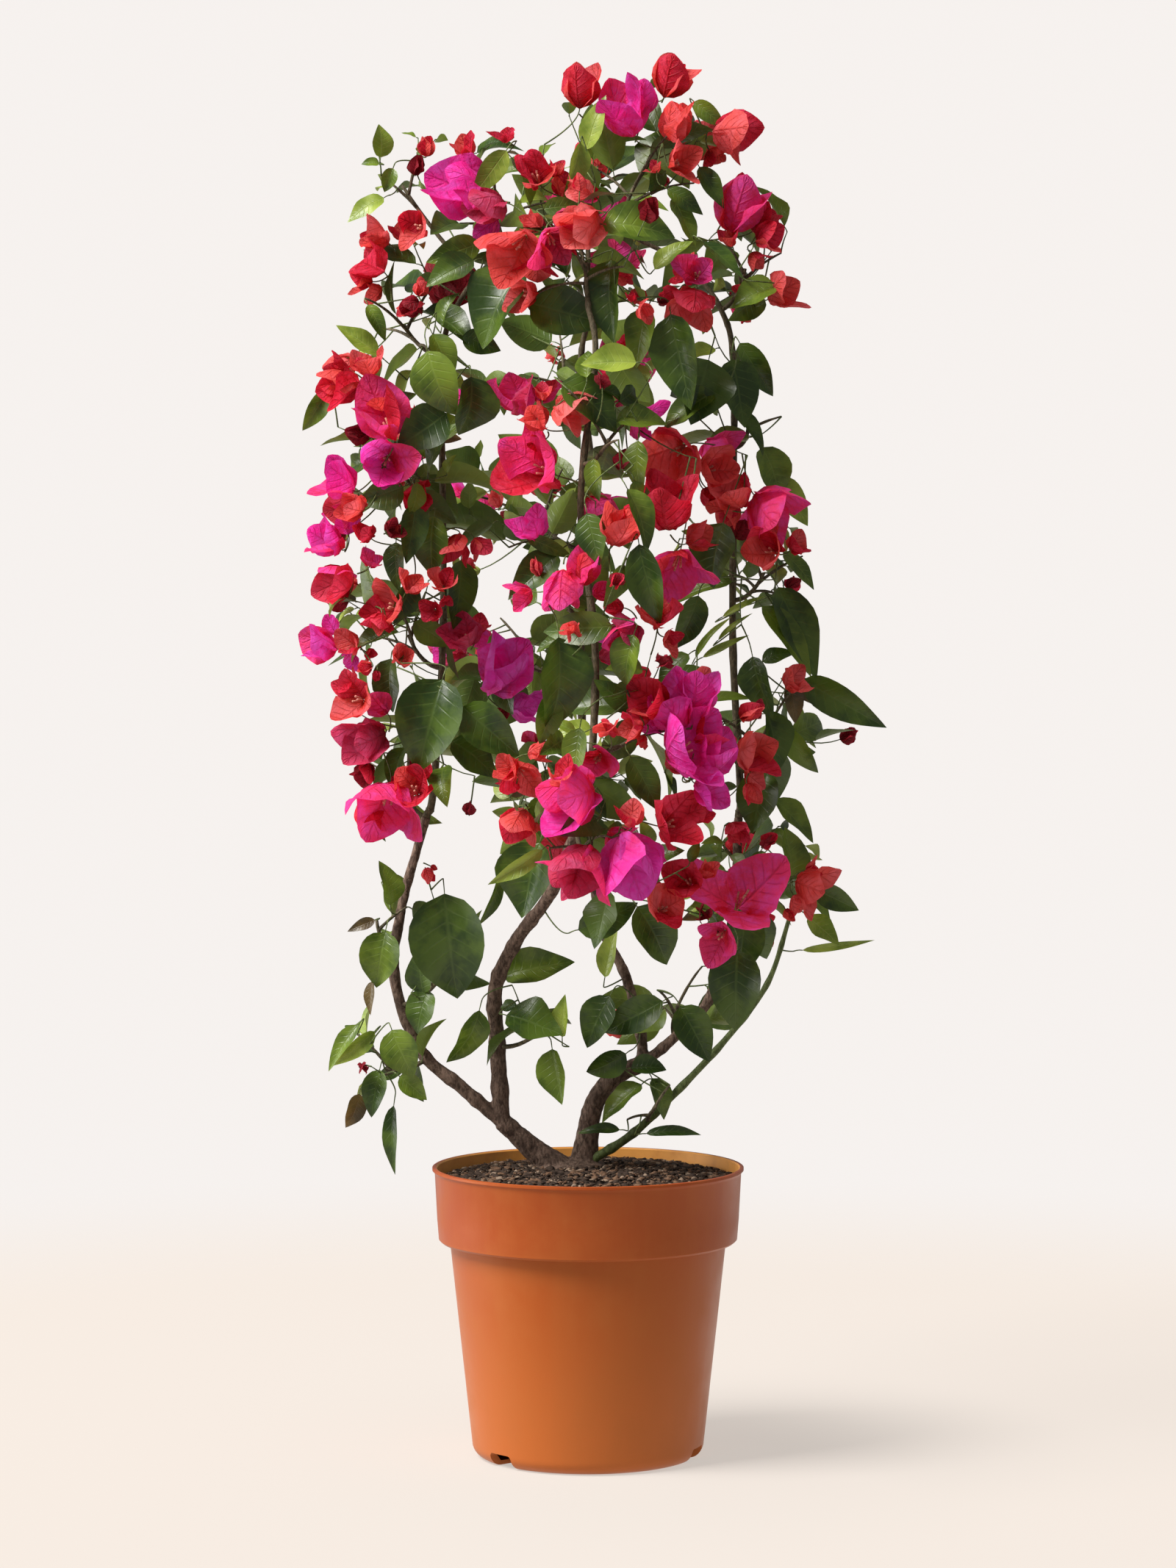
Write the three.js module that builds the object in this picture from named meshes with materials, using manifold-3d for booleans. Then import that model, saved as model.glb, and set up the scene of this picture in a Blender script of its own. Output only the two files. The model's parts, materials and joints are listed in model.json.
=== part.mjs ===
// A bougainvillea trained as a dome in a plastic nursery pot, in millimetres, +Z up.
// The origin is the centre of the pot's flat underside, and the front of the plant faces -Y.
// A trunk of two legs forks just above the soil. Its boughs lead out to four sides, where one
// climber each rises straight up and then arches in over the top. Masses of leaves and
// papery blossom stand round the climbers, at the crown and low down near the pot.
import * as THREE from "three";
import { mergeVertices } from "three/addons/utils/BufferGeometryUtils.js";
import Module from "manifold-3d";

const wasm = await Module();
wasm.setup();

// ---- Driving dimensions ----

const POT_HEIGHT = 205;
const POT_RIM_RADIUS = 110;
const POT_FOOT_RADIUS = 82;
const POT_WALL = 2;
const BAND_HEIGHT = 52; // the wide band under the rim
const SOIL_LEVEL = 203; // at the plant; the soil falls away a little towards the wall
const COLUMN_RADIUS = 102; // from the pot's axis to each climber
const SPRING_HEIGHT = 770; // where the climbers start to arch in
const CREST_HEIGHT = 863; // where their arches would meet
const CREST_OPENING = 34; // each climber ends this far from the axis
const CLEARANCE = 0.35; // between touching pieces

const UP = new THREE.Vector3(0, 0, 1);
const GOLDEN_ANGLE = THREE.MathUtils.degToRad(137.5);

const plastic = new THREE.MeshStandardMaterial({ color: 0xb85c33, roughness: 0.45 });
const pottingSoil = new THREE.MeshStandardMaterial({ color: 0x3a2a20, roughness: 1 });
const bark = new THREE.MeshStandardMaterial({ color: 0x5b4638, roughness: 0.9 });
const greenBark = new THREE.MeshStandardMaterial({ color: 0x6d7f3a, roughness: 0.7 });
const leafy = new THREE.MeshStandardMaterial({ color: 0x3c5a2a, roughness: 0.5 });
const blossom = new THREE.MeshStandardMaterial({ color: 0xcf1f55, roughness: 0.6 });

// ---- Solids ----

const vector = (x, y, z) => new THREE.Vector3(x, y, z);

// A closed geometry as a solid that can be joined and cut.
function solidOf(geometry) {
  const bare = new THREE.BufferGeometry();
  bare.setAttribute("position", geometry.getAttribute("position"));
  bare.setIndex(geometry.index);
  const merged = mergeVertices(bare, 1e-4);
  return new wasm.Manifold(
    new wasm.Mesh({
      numProp: 3,
      vertProperties: new Float32Array(merged.getAttribute("position").array),
      triVerts: new Uint32Array(merged.index.array),
    }),
  );
}

// The largest body of a solid: scraps are dropped and sealed hollows are filled.
function largestBody(solid) {
  return solid.decompose().reduce((a, b) => (b.volume() > a.volume() ? b : a));
}

function meshOf(name, solid, material) {
  const { vertProperties, triVerts } = largestBody(solid).getMesh();
  const geometry = new THREE.BufferGeometry();
  geometry.setAttribute("position", new THREE.BufferAttribute(vertProperties, 3));
  geometry.setIndex(new THREE.BufferAttribute(triVerts, 1));
  geometry.computeVertexNormals();
  const mesh = new THREE.Mesh(geometry, material);
  mesh.name = name;
  return mesh;
}

// A cylinder bent along a curve, with its own radius at each share of the way.
function taperedTube(curve, radiusAt, sides, steps) {
  const tube = new THREE.CylinderGeometry(1, 1, 1, sides, steps);
  const frames = curve.computeFrenetFrames(steps);
  const position = tube.getAttribute("position");
  for (let i = 0; i < position.count; i++) {
    const step = Math.round((position.getY(i) + 0.5) * steps);
    const radius = radiusAt(step / steps);
    const place = curve
      .getPointAt(step / steps)
      .addScaledVector(frames.binormals[step], position.getX(i) * radius)
      .addScaledVector(frames.normals[step], position.getZ(i) * radius);
    position.setXYZ(i, place.x, place.y, place.z);
  }
  return tube;
}

const curveThrough = (points) =>
  new THREE.CatmullRomCurve3(points, false, "catmullrom", 0.5);

// ---- Pot and soil ----

const BAND_FOOT = POT_HEIGHT - BAND_HEIGHT;
const BODY_TOP_RADIUS = 97.6;
const BAND_FOOT_RADIUS = 105.7;
const BAND_TOP_RADIUS = 108.4;
const FOOT_ROUNDING = 10;
const FOOT_STEPS = 3;
const FLOOR = 3; // thickness of the pot's floor
const PROFILE_SEGMENTS = 28;

const lathed = (profile) => {
  const points = profile.map(([r, z]) => new THREE.Vector2(r, z));
  return new THREE.LatheGeometry(points, PROFILE_SEGMENTS).rotateX(Math.PI / 2);
};

// The quarter round between the flat foot and the wall.
const footCorner = () =>
  Array.from({ length: FOOT_STEPS + 1 }, (_, i) => {
    const turn = (i * Math.PI) / 2 / FOOT_STEPS;
    const inset = FOOT_ROUNDING * (1 - Math.sin(turn));
    return [POT_FOOT_RADIUS - inset, FOOT_ROUNDING * (1 - Math.cos(turn))];
  });

function potSolid() {
  const wall = POT_WALL;
  const pot = solidOf(
    lathed([
      [0, 0],
      ...footCorner(),
      [BODY_TOP_RADIUS, BAND_FOOT],
      [BAND_FOOT_RADIUS - 1, BAND_FOOT],
      [BAND_FOOT_RADIUS, BAND_FOOT + 2],
      [BAND_TOP_RADIUS, POT_HEIGHT - 3],
      [POT_RIM_RADIUS, POT_HEIGHT - 2.2],
      [POT_RIM_RADIUS, POT_HEIGHT],
      [BAND_TOP_RADIUS - wall, POT_HEIGHT],
      [BAND_FOOT_RADIUS - wall, BAND_FOOT + 3],
      [BODY_TOP_RADIUS - wall, BAND_FOOT + 2],
      [POT_FOOT_RADIUS - wall, FOOT_ROUNDING + FLOOR],
      [POT_FOOT_RADIUS - FOOT_ROUNDING, FLOOR],
      [0, FLOOR],
    ]),
  );
  return pot.subtract(wasm.Manifold.union(drainageNotches()));
}

// Slots cut into the foot's edge, which let water out under the wall.
const NOTCHES = 3;
const NOTCH_WIDTH = 15;
const NOTCH_HEIGHT = 7;
const NOTCH_REACH = 8; // how far it reaches in from the foot's radius
const FIRST_NOTCH_DEG = 221;

function drainageNotches() {
  return Array.from({ length: NOTCHES }, (_, i) => {
    const turn = THREE.MathUtils.degToRad(FIRST_NOTCH_DEG + (i * 360) / NOTCHES);
    const notch = new THREE.BoxGeometry(2 * NOTCH_REACH, NOTCH_WIDTH, 2 * NOTCH_HEIGHT);
    notch.translate(POT_FOOT_RADIUS, 0, 0).rotateZ(turn);
    return solidOf(notch);
  });
}

const SOIL_EDGE_DROP = 6; // how much lower the soil lies at the wall
const PLATEAU_RADIUS = 48;

function soilSolid() {
  const gap = POT_WALL + CLEARANCE;
  const floor = FLOOR + CLEARANCE;
  const foot = POT_FOOT_RADIUS - NOTCH_REACH - 2;
  const edge = SOIL_LEVEL - SOIL_EDGE_DROP;
  const rise = (edge - BAND_FOOT) / BAND_HEIGHT;
  const bandRadius = BAND_FOOT_RADIUS + (BAND_TOP_RADIUS - BAND_FOOT_RADIUS) * rise;
  return solidOf(
    lathed([
      [0, floor],
      [foot, floor],
      [foot, floor + NOTCH_HEIGHT],
      [POT_FOOT_RADIUS - gap, floor + NOTCH_HEIGHT + FOOT_ROUNDING],
      [BODY_TOP_RADIUS - gap, BAND_FOOT + 2],
      [BODY_TOP_RADIUS - gap, BAND_FOOT + 4],
      [BAND_FOOT_RADIUS - gap, BAND_FOOT + 5],
      [bandRadius - gap, edge],
      [PLATEAU_RADIUS, SOIL_LEVEL],
      [0, SOIL_LEVEL],
    ]),
  );
}

// ---- Trunk: two legs on one root crown, with a stub for each bough ----

const GROUND = SOIL_LEVEL + CLEARANCE; // the trunk's flat cut
const ROOT_CROWN = { centre: vector(-14, 17, SOIL_LEVEL), half: vector(31, 20, 14) };
const LEG_RADIUS = 7.4;
const FLARE = 0.55; // how much wider a leg is at the ground
const FLARE_HEIGHT = 14;

// Each leg starts inside the root crown, and its last point is its fork.
const leftLeg = [vector(-8, 17, 192), vector(-29, 14, 207), vector(-61, 8, 236)];
const rightLeg = [
  vector(-4, 20, 190),
  vector(-1, 19, 218),
  vector(4, 17, 246),
  vector(18, 14, 266),
  vector(39, 12, 277),
];

// A bough: the points that it runs through, and its radius at each end. The first stretch,
// as long as a stub, belongs to the trunk.
const boughs = {
  left_leader: {
    route: [
      leftLeg[2],
      vector(-90, 4, 261),
      vector(-118, 2, 287),
      vector(-136, 0, 336),
      vector(-132, 0, 385),
      vector(-114, 0, 452),
    ],
    radius: [5.4, 2.9],
    material: bark,
  },
  centre_leader: {
    route: [
      leftLeg[2],
      vector(-64, 4, 290),
      vector(-65, -8, 332),
      vector(-50, -24, 367),
      vector(-26, -52, 402),
      vector(-6, -88, 452),
    ],
    radius: [5.6, 3.6],
    material: bark,
  },
  back_leader: {
    route: [
      rightLeg[4],
      vector(37, 20, 300),
      vector(27, 34, 336),
      vector(8, 58, 378),
      vector(0, 92, 452),
    ],
    radius: [3.6, 2.9],
    material: bark,
  },
  right_leader: {
    route: [
      rightLeg[4],
      vector(60, 10, 294),
      vector(86, 6, 324),
      vector(102, 3, 384),
      vector(106, 0, 452),
    ],
    radius: [3.4, 2.9],
    material: bark,
  },
  green_shoot: {
    route: [
      vector(2, 15, 207),
      vector(30, 6, 226),
      vector(57, 2, 252),
      vector(96, -10, 295),
      vector(126, -14, 336),
      vector(142, -14, 384),
    ],
    radius: [3.4, 1.5],
    material: greenBark,
  },
};
const STUB_LENGTH = 12;
const BOUGH_SIDES = 6;

const radiusAlong = ([from, to]) => (share) => THREE.MathUtils.lerp(from, to, share);

// The stretch of a curve between two lengths from its start.
function stretchOf(curve, from, to, pieces) {
  const whole = curve.getLength();
  return curveThrough(
    Array.from({ length: pieces + 1 }, (_, i) =>
      curve.getPointAt(Math.min(1, (from + ((to - from) * i) / pieces) / whole)),
    ),
  );
}

function trunkSolid() {
  const ground = new THREE.BoxGeometry(600, 600, 100).translate(0, 0, GROUND - 50);
  const crown = new THREE.SphereGeometry(1, 10, 6)
    .rotateX(Math.PI / 2)
    .scale(...ROOT_CROWN.half.toArray())
    .translate(...ROOT_CROWN.centre.toArray());
  const legs = [leftLeg, rightLeg].map((route) => {
    const curve = curveThrough(route);
    const flared = (share) => {
      const height = Math.max(0, curve.getPointAt(share).z - SOIL_LEVEL);
      return LEG_RADIUS * (1 - 0.22 * share + FLARE * Math.exp(-height / FLARE_HEIGHT));
    };
    return taperedTube(curve, flared, 7, 6);
  });
  const stubs = Object.values(boughs).map(({ curve, radius }) => {
    const stub = stretchOf(curve, 0, STUB_LENGTH - CLEARANCE, 2);
    return taperedTube(stub, radiusAlong([radius[0] * 1.15, radius[0]]), BOUGH_SIDES, 2);
  });
  return wasm.Manifold.union([crown, ...legs, ...stubs].map(solidOf)).subtract(
    solidOf(ground),
  );
}

// ---- Climbers: one rises on each side and arches in over the top ----

const columns = {
  left: { turn: 180, carrier: "left_leader" },
  right: { turn: 0, carrier: "right_leader" },
  front: { turn: -90, carrier: "centre_leader" },
  back: { turn: 90, carrier: "back_leader" },
};
const CLIMBER_SWAY = 5; // a climber wanders this far from a straight line
const CLIMBER_RADII = [2.9, 1.5];
const STRAIGHT_START = 20; // it leaves its bough in line with it
const RISES = 3;
const ARCH_STEPS = 3;

function climberRoute({ turn, carrier }) {
  const angle = THREE.MathUtils.degToRad(turn);
  const outward = vector(Math.cos(angle), Math.sin(angle), 0);
  const along = vector(-Math.sin(angle), Math.cos(angle), 0);
  const foot = boughs[carrier].route.at(-1);
  const onwards = boughs[carrier].curve.getTangent(1);
  const points = [foot.clone(), foot.clone().addScaledVector(onwards, STRAIGHT_START)];
  for (let i = 1; i <= RISES; i++) {
    const height = THREE.MathUtils.lerp(points[1].z, SPRING_HEIGHT, i / RISES);
    const point = outward.clone().multiplyScalar(COLUMN_RADIUS).setZ(height);
    points.push(point.addScaledVector(along, i % 2 ? CLIMBER_SWAY : -CLIMBER_SWAY));
  }
  const last = Math.acos(CREST_OPENING / COLUMN_RADIUS);
  for (let i = 1; i <= ARCH_STEPS; i++) {
    const bend = (last * i) / ARCH_STEPS;
    const point = outward.clone().multiplyScalar(COLUMN_RADIUS * Math.cos(bend));
    points.push(
      point.setZ(SPRING_HEIGHT + (CREST_HEIGHT - SPRING_HEIGHT) * Math.sin(bend)),
    );
  }
  return points;
}

for (const bough of Object.values(boughs)) bough.curve = curveThrough(bough.route);
const climbers = {};
for (const [side, column] of Object.entries(columns)) {
  const route = climberRoute(column);
  const radius = CLIMBER_RADII;
  climbers[`${side}_climber`] = { route, radius, material: bark, curve: curveThrough(route) };
}
const limbs = { ...boughs, ...climbers };

// A limb past its stub, or a copy of it that is thicker all round.
function limbSolid(name, extra = 0) {
  const { curve, radius } = limbs[name];
  const start = name in boughs ? STUB_LENGTH : 2 * CLEARANCE;
  const steps = name in boughs ? 7 : 9;
  const stretch = stretchOf(curve, start, curve.getLength(), 12);
  const radii = radius.map((r) => r + extra);
  return solidOf(taperedTube(stretch, radiusAlong(radii), BOUGH_SIDES, steps));
}

// ---- Masses of foliage and blossom ----

// Round a column: the height of each tier, how far it stands out from the climber,
// how far it sways along the column's side, and its number of blooms.
const tiers = {
  left: [
    { height: 478, stand: 27, sway: 0, blooms: 2 },
    { height: 583, stand: 27, sway: 0, blooms: 2 },
    { height: 692, stand: 29, sway: 5, blooms: 2 },
    { height: 800, stand: 30, sway: 0, blooms: 2 },
  ],
  right: [
    { height: 402, stand: 20, sway: -10, blooms: 2 },
    { height: 512, stand: 21, sway: 0, blooms: 1 },
    { height: 626, stand: 24, sway: 0, blooms: 2 },
    { height: 740, stand: 12, sway: -5, blooms: 1 },
  ],
  front: [
    { height: 434, stand: 26, sway: -2, blooms: 2 },
    { height: 522, stand: 22, sway: 42, blooms: 2 },
    { height: 606, stand: 20, sway: -18, blooms: 1 },
    { height: 716, stand: 20, sway: 16, blooms: 2 },
  ],
  back: [
    { height: 456, stand: 22, sway: 24, blooms: 2 },
    { height: 560, stand: 22, sway: 46, blooms: 2 },
    { height: 664, stand: 22, sway: 42, blooms: 2 },
    { height: 770, stand: 18, sway: 20, blooms: 2 },
  ],
};
const TIER_HALF = { radial: 82, along: 84, height: 82 };

// At the crown and near the pot: the limb, the centre, half the size each way, blooms,
// and the size of the leaves as a share of the usual one.
const others = [
  { name: "crown_left", limb: "left_climber", at: [-66, 0, 886], half: [84, 74, 70], blooms: 3 },
  { name: "crown_right", limb: "right_climber", at: [44, 0, 916], half: [84, 78, 78], blooms: 3 },
  { name: "crown_front", limb: "front_climber", at: [-2, -92, 834], half: [84, 72, 70], blooms: 2 },
  { name: "crown_back", limb: "back_climber", at: [-6, 90, 862], half: [84, 74, 72], blooms: 2 },
  { name: "crown_edge", limb: "right_climber", at: [112, 2, 840], half: [72, 74, 70], blooms: 2 },
  { name: "crown_sprig", limb: "left_climber", at: [-136, 4, 902], half: [54, 44, 52], leaf: 0.6 },
  { name: "left_sprig", limb: "left_leader", at: [-150, -6, 382], half: [60, 60, 64], leaf: 0.8 },
  {
    name: "left_spray",
    limb: "left_leader",
    at: [-146, -14, 274],
    half: [68, 60, 80],
    leaf: 0.8,
    twigs: 3,
  },
  { name: "left_inner", limb: "left_leader", at: [-94, -40, 352], half: [64, 64, 66] },
  { name: "centre_low", limb: "centre_leader", at: [-30, -34, 306], half: [72, 74, 66] },
  { name: "right_low", limb: "right_leader", at: [64, 34, 318], half: [72, 72, 68] },
  {
    name: "base_sprig",
    limb: "green_shoot",
    at: [48, -30, 252],
    half: [60, 56, 48],
    leaf: 0.7,
    twigs: 3,
  },
];

const TWIGS = 4; // on one mass, as a rule
const STEM_DROP = 22; // a mass's stem leaves its limb this far below the mass's centre

function allMasses() {
  const found = [];
  for (const [side, rows] of Object.entries(tiers)) {
    const angle = THREE.MathUtils.degToRad(columns[side].turn);
    const outward = vector(Math.cos(angle), Math.sin(angle), 0);
    const along = vector(-Math.sin(angle), Math.cos(angle), 0);
    const half = vector(
      Math.abs(outward.x) * TIER_HALF.radial + Math.abs(along.x) * TIER_HALF.along,
      Math.abs(outward.y) * TIER_HALF.radial + Math.abs(along.y) * TIER_HALF.along,
      TIER_HALF.height,
    );
    rows.forEach(({ height, stand, sway, blooms }, tier) => {
      const centre = outward.clone().multiplyScalar(COLUMN_RADIUS + stand).setZ(height);
      centre.addScaledVector(along, sway);
      const foot = boughs[columns[side].carrier].route.at(-1).z;
      const limb = height - STEM_DROP < foot ? columns[side].carrier : `${side}_climber`;
      const name = `${side}_mass_${tier + 1}`;
      found.push({ name, limb, centre, half, blooms, leaf: 1, twigs: TWIGS });
    });
  }
  for (const { at, half, ...rest } of others)
    found.push({
      blooms: 0,
      leaf: 1,
      twigs: TWIGS,
      centre: vector(...at),
      half: vector(...half),
      ...rest,
    });
  found.forEach((mass, i) => (mass.seed = 1009 + 97 * i));
  return found;
}
const masses = allMasses();

// Seeded random numbers from 0 to 1.
function seededRandom(seed) {
  let state = seed;
  return () => {
    state = (state * 48271) % 2147483647;
    return state / 2147483647;
  };
}

// Away from the crown's core: level below the dome's spring, and tilting up over it.
const OUTWARD_TILT = 1.1;
const outwardAt = (place) =>
  vector(place.x, place.y, OUTWARD_TILT * Math.max(0, place.z - SPRING_HEIGHT)).normalize();

// Each mass has its own space: an ellipsoid, less what lies nearer to another mass.
const SPACE_GAP = 0.5;
function isInSpace(mass, place, margin) {
  const offset = place.clone().sub(mass.centre);
  if (offset.clone().divide(mass.half).length() > 1) return false;
  return masses.every((other) => {
    if (other === mass) return true;
    const toOther = other.centre.clone().sub(mass.centre);
    const share = mass.half.length() / (mass.half.length() + other.half.length());
    const limit = toOther.length() * share - SPACE_GAP - margin;
    return offset.dot(toOther.normalize()) < limit;
  });
}

// Limbs, and the masses' own stems, as chains of points with a radius.
const CHAIN_STEPS = 26;
const chainOf = (curve, radiusAt) =>
  Array.from({ length: CHAIN_STEPS + 1 }, (_, i) => ({
    place: curve.getPoint(i / CHAIN_STEPS),
    radius: radiusAt(i / CHAIN_STEPS),
  }));

function distanceToChain(place, chain) {
  let least = Infinity;
  for (let i = 1; i < chain.length; i++) {
    const line = new THREE.Line3(chain[i - 1].place, chain[i].place);
    const near = line.closestPointToPoint(place, true, vector(0, 0, 0));
    least = Math.min(least, near.distanceTo(place) - chain[i].radius);
  }
  return least;
}

const POT_CLEARANCE = 5;
function isClearOfPot(place) {
  const outside = Math.hypot(place.x, place.y) > POT_RIM_RADIUS + POT_CLEARANCE;
  return place.z > (outside ? POT_CLEARANCE : POT_HEIGHT + POT_CLEARANCE);
}

// The stem of a mass leaves its limb square to it, or straight on from the limb's tip.
const STEM_RADII = [2.6, 2];
const STEM_END = 0.9; // the share of the way to the centre that the stem reaches
function stemCurve({ limb, centre }) {
  const { curve, radius } = limbs[limb];
  const goal = centre.clone().addScaledVector(UP, -STEM_DROP);
  const samples = 60;
  let nearest = 0;
  for (let i = 4; i <= samples; i++) {
    const better =
      curve.getPoint(i / samples).distanceTo(goal) <
      curve.getPoint(nearest / samples).distanceTo(goal);
    if (better) nearest = i;
  }
  const share = nearest / samples;
  const foot = curve.getPoint(share);
  const tangent = curve.getTangent(share);
  const away = centre.clone().sub(foot);
  const direction =
    share === 1
      ? tangent
      : away.clone().addScaledVector(tangent, -away.dot(tangent)).normalize();
  const skin = share === 1 ? CLEARANCE : radiusAlong(radius)(share) * 0.6;
  const start = foot.clone().addScaledVector(direction, skin);
  const end = foot.clone().lerp(centre, STEM_END);
  const bend = start.clone().addScaledVector(direction, start.distanceTo(end) * 0.45);
  return new THREE.QuadraticBezierCurve3(start, bend, end);
}

// A twig leaves the stem and arches out to a place in the mass's space.
const LOWEST_AIM = -0.75; // the sine of the lowest twig's slope
const TWIG_SPREAD = 0.56; // the share of the space that the twigs fill
const TWIG_ARCH = 0.16;
const TWIG_RADII = [1.3, 1];
const TWIG_STEPS = 2;
function twigCurve(mass, index, random) {
  const share = (index + 0.5) / mass.twigs;
  const turn = mass.seed + index * GOLDEN_ANGLE + 0.7 * (random() - 0.5);
  const rise = Math.asin(THREE.MathUtils.lerp(LOWEST_AIM, 0.95, share));
  const spread = TWIG_SPREAD * (0.85 + 0.35 * random());
  const level = Math.cos(rise);
  const aim = vector(level * Math.cos(turn), level * Math.sin(turn), Math.sin(rise))
    .multiply(mass.half)
    .multiplyScalar(spread)
    .add(mass.centre);
  const start = mass.stem.getPoint(THREE.MathUtils.lerp(0.5, 0.97, share));
  const bend = start.clone().lerp(aim, 0.5);
  bend.z += TWIG_ARCH * start.distanceTo(aim);
  return new THREE.QuadraticBezierCurve3(start, bend, aim);
}

// A place on the twig's own line, which is straight from step to step.
function onTwig(twig, along) {
  const step = Math.min(TWIG_STEPS - 1, Math.floor(along * TWIG_STEPS));
  const from = twig.getPointAt(step / TWIG_STEPS);
  return from.lerp(twig.getPointAt((step + 1) / TWIG_STEPS), along * TWIG_STEPS - step);
}

// Leaves stand left and right along a twig. They face out of the crown, and droop. A leaf
// with no room turns about its twig, a sixth of a turn at a time, and then once more round
// at a smaller size.
const LEAVES_PER_TWIG = 4;
const LEAF_LENGTH = 80;
const ROLL = 2.2; // how far leaves roll about their ribs, in radians from end to end
const TRIES = 12;
const lengthOfTry = (i) => (i < TRIES / 2 ? 1 : 0.72);
const SKEW = vector(0.21, 0.13, 0.97).normalize();
function leafOn(mass, twig, index, random) {
  const along = 0.25 + (0.75 * (index + 0.6 * random())) / LEAVES_PER_TWIG;
  const droop = 0.1 + 0.6 * random();
  const length = mass.leaf * LEAF_LENGTH * (0.75 + 0.4 * random());
  const roll = ROLL * (random() - 0.5);
  const place = onTwig(twig, along);
  const forward = twig.getTangent(along);
  const across = forward.clone().cross(SKEW).normalize();
  const outward = outwardAt(place);
  return Array.from({ length: TRIES }, (_, i) => {
    const turned = across.clone().applyAxisAngle(forward, Math.PI * (index + i / 3));
    const direction = forward
      .clone()
      .multiplyScalar(0.4)
      .addScaledVector(turned, 0.8)
      .addScaledVector(outward, 0.25)
      .addScaledVector(UP, -droop)
      .normalize();
    const facing = outward.clone().addScaledVector(UP, 0.55).addScaledVector(turned, 0.25);
    facing.applyAxisAngle(direction, roll);
    return { place, direction, facing, length: length * lengthOfTry(i) };
  });
}

// A bloom is three papery bracts round the twig's tip.
const BRACTS = 3;
const BRACT_LENGTH = 58;
const BRACT_STEP = 0.06; // each bract starts this share of the twig behind the last
const BRACT_OPENING = THREE.MathUtils.degToRad(46);
function bractsAt(twig, random) {
  const tip = twig.getPoint(1);
  const axis = twig
    .getTangent(1)
    .multiplyScalar(0.45)
    .addScaledVector(outwardAt(tip), 0.75)
    .addScaledVector(UP, 0.45 - 0.9 * random())
    .normalize();
  const first = axis.clone().cross(SKEW).normalize();
  const phase = 2 * Math.PI * random();
  const length = BRACT_LENGTH * (0.85 + 0.3 * random());
  return Array.from({ length: BRACTS }, (_, k) =>
    Array.from({ length: TRIES }, (_, i) => {
      const turn = phase + (2 * Math.PI * (k + (2 * i) / TRIES)) / BRACTS;
      const radial = first.clone().applyAxisAngle(axis, turn);
      const direction = axis
        .clone()
        .multiplyScalar(Math.cos(BRACT_OPENING))
        .addScaledVector(radial, Math.sin(BRACT_OPENING));
      const facing = axis.clone().addScaledVector(radial, -1);
      const place = onTwig(twig, 0.99 - k * BRACT_STEP);
      return { place, direction, facing, length: length * lengthOfTry(i) };
    }),
  );
}

// A leaf or bract is an octahedron drawn out to a pointed blade that is folded on its rib.
const LEAF_BLADE = { width: 0.64, widest: 0.42, fold: 0.16 };
const BRACT_BLADE = { width: 0.8, widest: 0.5, fold: 0.24 };
const BLADE_THICKNESS = 1.2;
const SUNK = 0.3; // the blade starts this far behind the twig's line
const NECK = 3; // it is thickest this far from its start
function bladeGeometry({ place, direction, facing, length }, { width, widest, fold }) {
  const across = direction.clone().cross(facing).normalize();
  const normal = across.clone().cross(direction);
  const blade = new THREE.OctahedronGeometry(1);
  const position = blade.getAttribute("position");
  for (let i = 0; i < position.count; i++) {
    const [x, y, z] = [position.getX(i), position.getY(i), position.getZ(i)];
    const along = Math.max(0, y) * length + Math.abs(x) * widest * length + Math.abs(z) * NECK;
    const lift = z * 0.5 * BLADE_THICKNESS + Math.abs(x) * fold * 0.5 * width * length;
    const corner = place
      .clone()
      .addScaledVector(direction, along - SUNK)
      .addScaledVector(across, x * 0.5 * width * length)
      .addScaledVector(normal, lift);
    position.setXYZ(i, corner.x, corner.y, corner.z);
  }
  return blade;
}

// Points all over a blade, close enough together that no limb passes between them.
const BLADE_GRID = 6;
const BLADE_LIMB_GAP = 5;
function isBladeFree(mass, leaf, shape) {
  const corners = bladeGeometry(leaf, shape).getAttribute("position");
  for (let i = 0; i < corners.count; i++)
    if (!isInSpace(mass, vector(0, 0, 0).fromBufferAttribute(corners, i), 0)) return false;
  const across = leaf.direction.clone().cross(leaf.facing).normalize();
  for (let i = 1; i <= BLADE_GRID; i++)
    for (const side of [-0.9, -0.45, 0, 0.45, 0.9]) {
      const along = i / BLADE_GRID;
      const fullness = Math.min(along / shape.widest, (1 - along) / (1 - shape.widest));
      const half = 0.5 * shape.width * fullness;
      const place = leaf.place
        .clone()
        .addScaledVector(leaf.direction, along * leaf.length)
        .addScaledVector(across, side * half * leaf.length);
      if (!isClearOfPot(place)) return false;
      if (obstacles.some((o) => o.of !== mass && distanceToChain(place, o.chain) < BLADE_LIMB_GAP))
        return false;
    }
  return true;
}

const TWIG_LIMB_GAP = 3.5;
function isTwigFree(mass, twig) {
  return twig.getPoints(6).every((place, i) => {
    const free = (o) =>
      o.of === mass ||
      (i < 2 && o.name === mass.limb) ||
      distanceToChain(place, o.chain) > TWIG_LIMB_GAP;
    return isInSpace(mass, place, TWIG_RADII[0]) && isClearOfPot(place) && obstacles.every(free);
  });
}

for (const mass of masses) mass.stem = stemCurve(mass);
const obstacles = [
  ...Object.entries(limbs).map(([name, { curve, radius }]) => ({
    name,
    chain: chainOf(curve, radiusAlong(radius)),
  })),
  ...masses.map((mass) => ({ of: mass, chain: chainOf(mass.stem, radiusAlong(STEM_RADII)) })),
];

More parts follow.
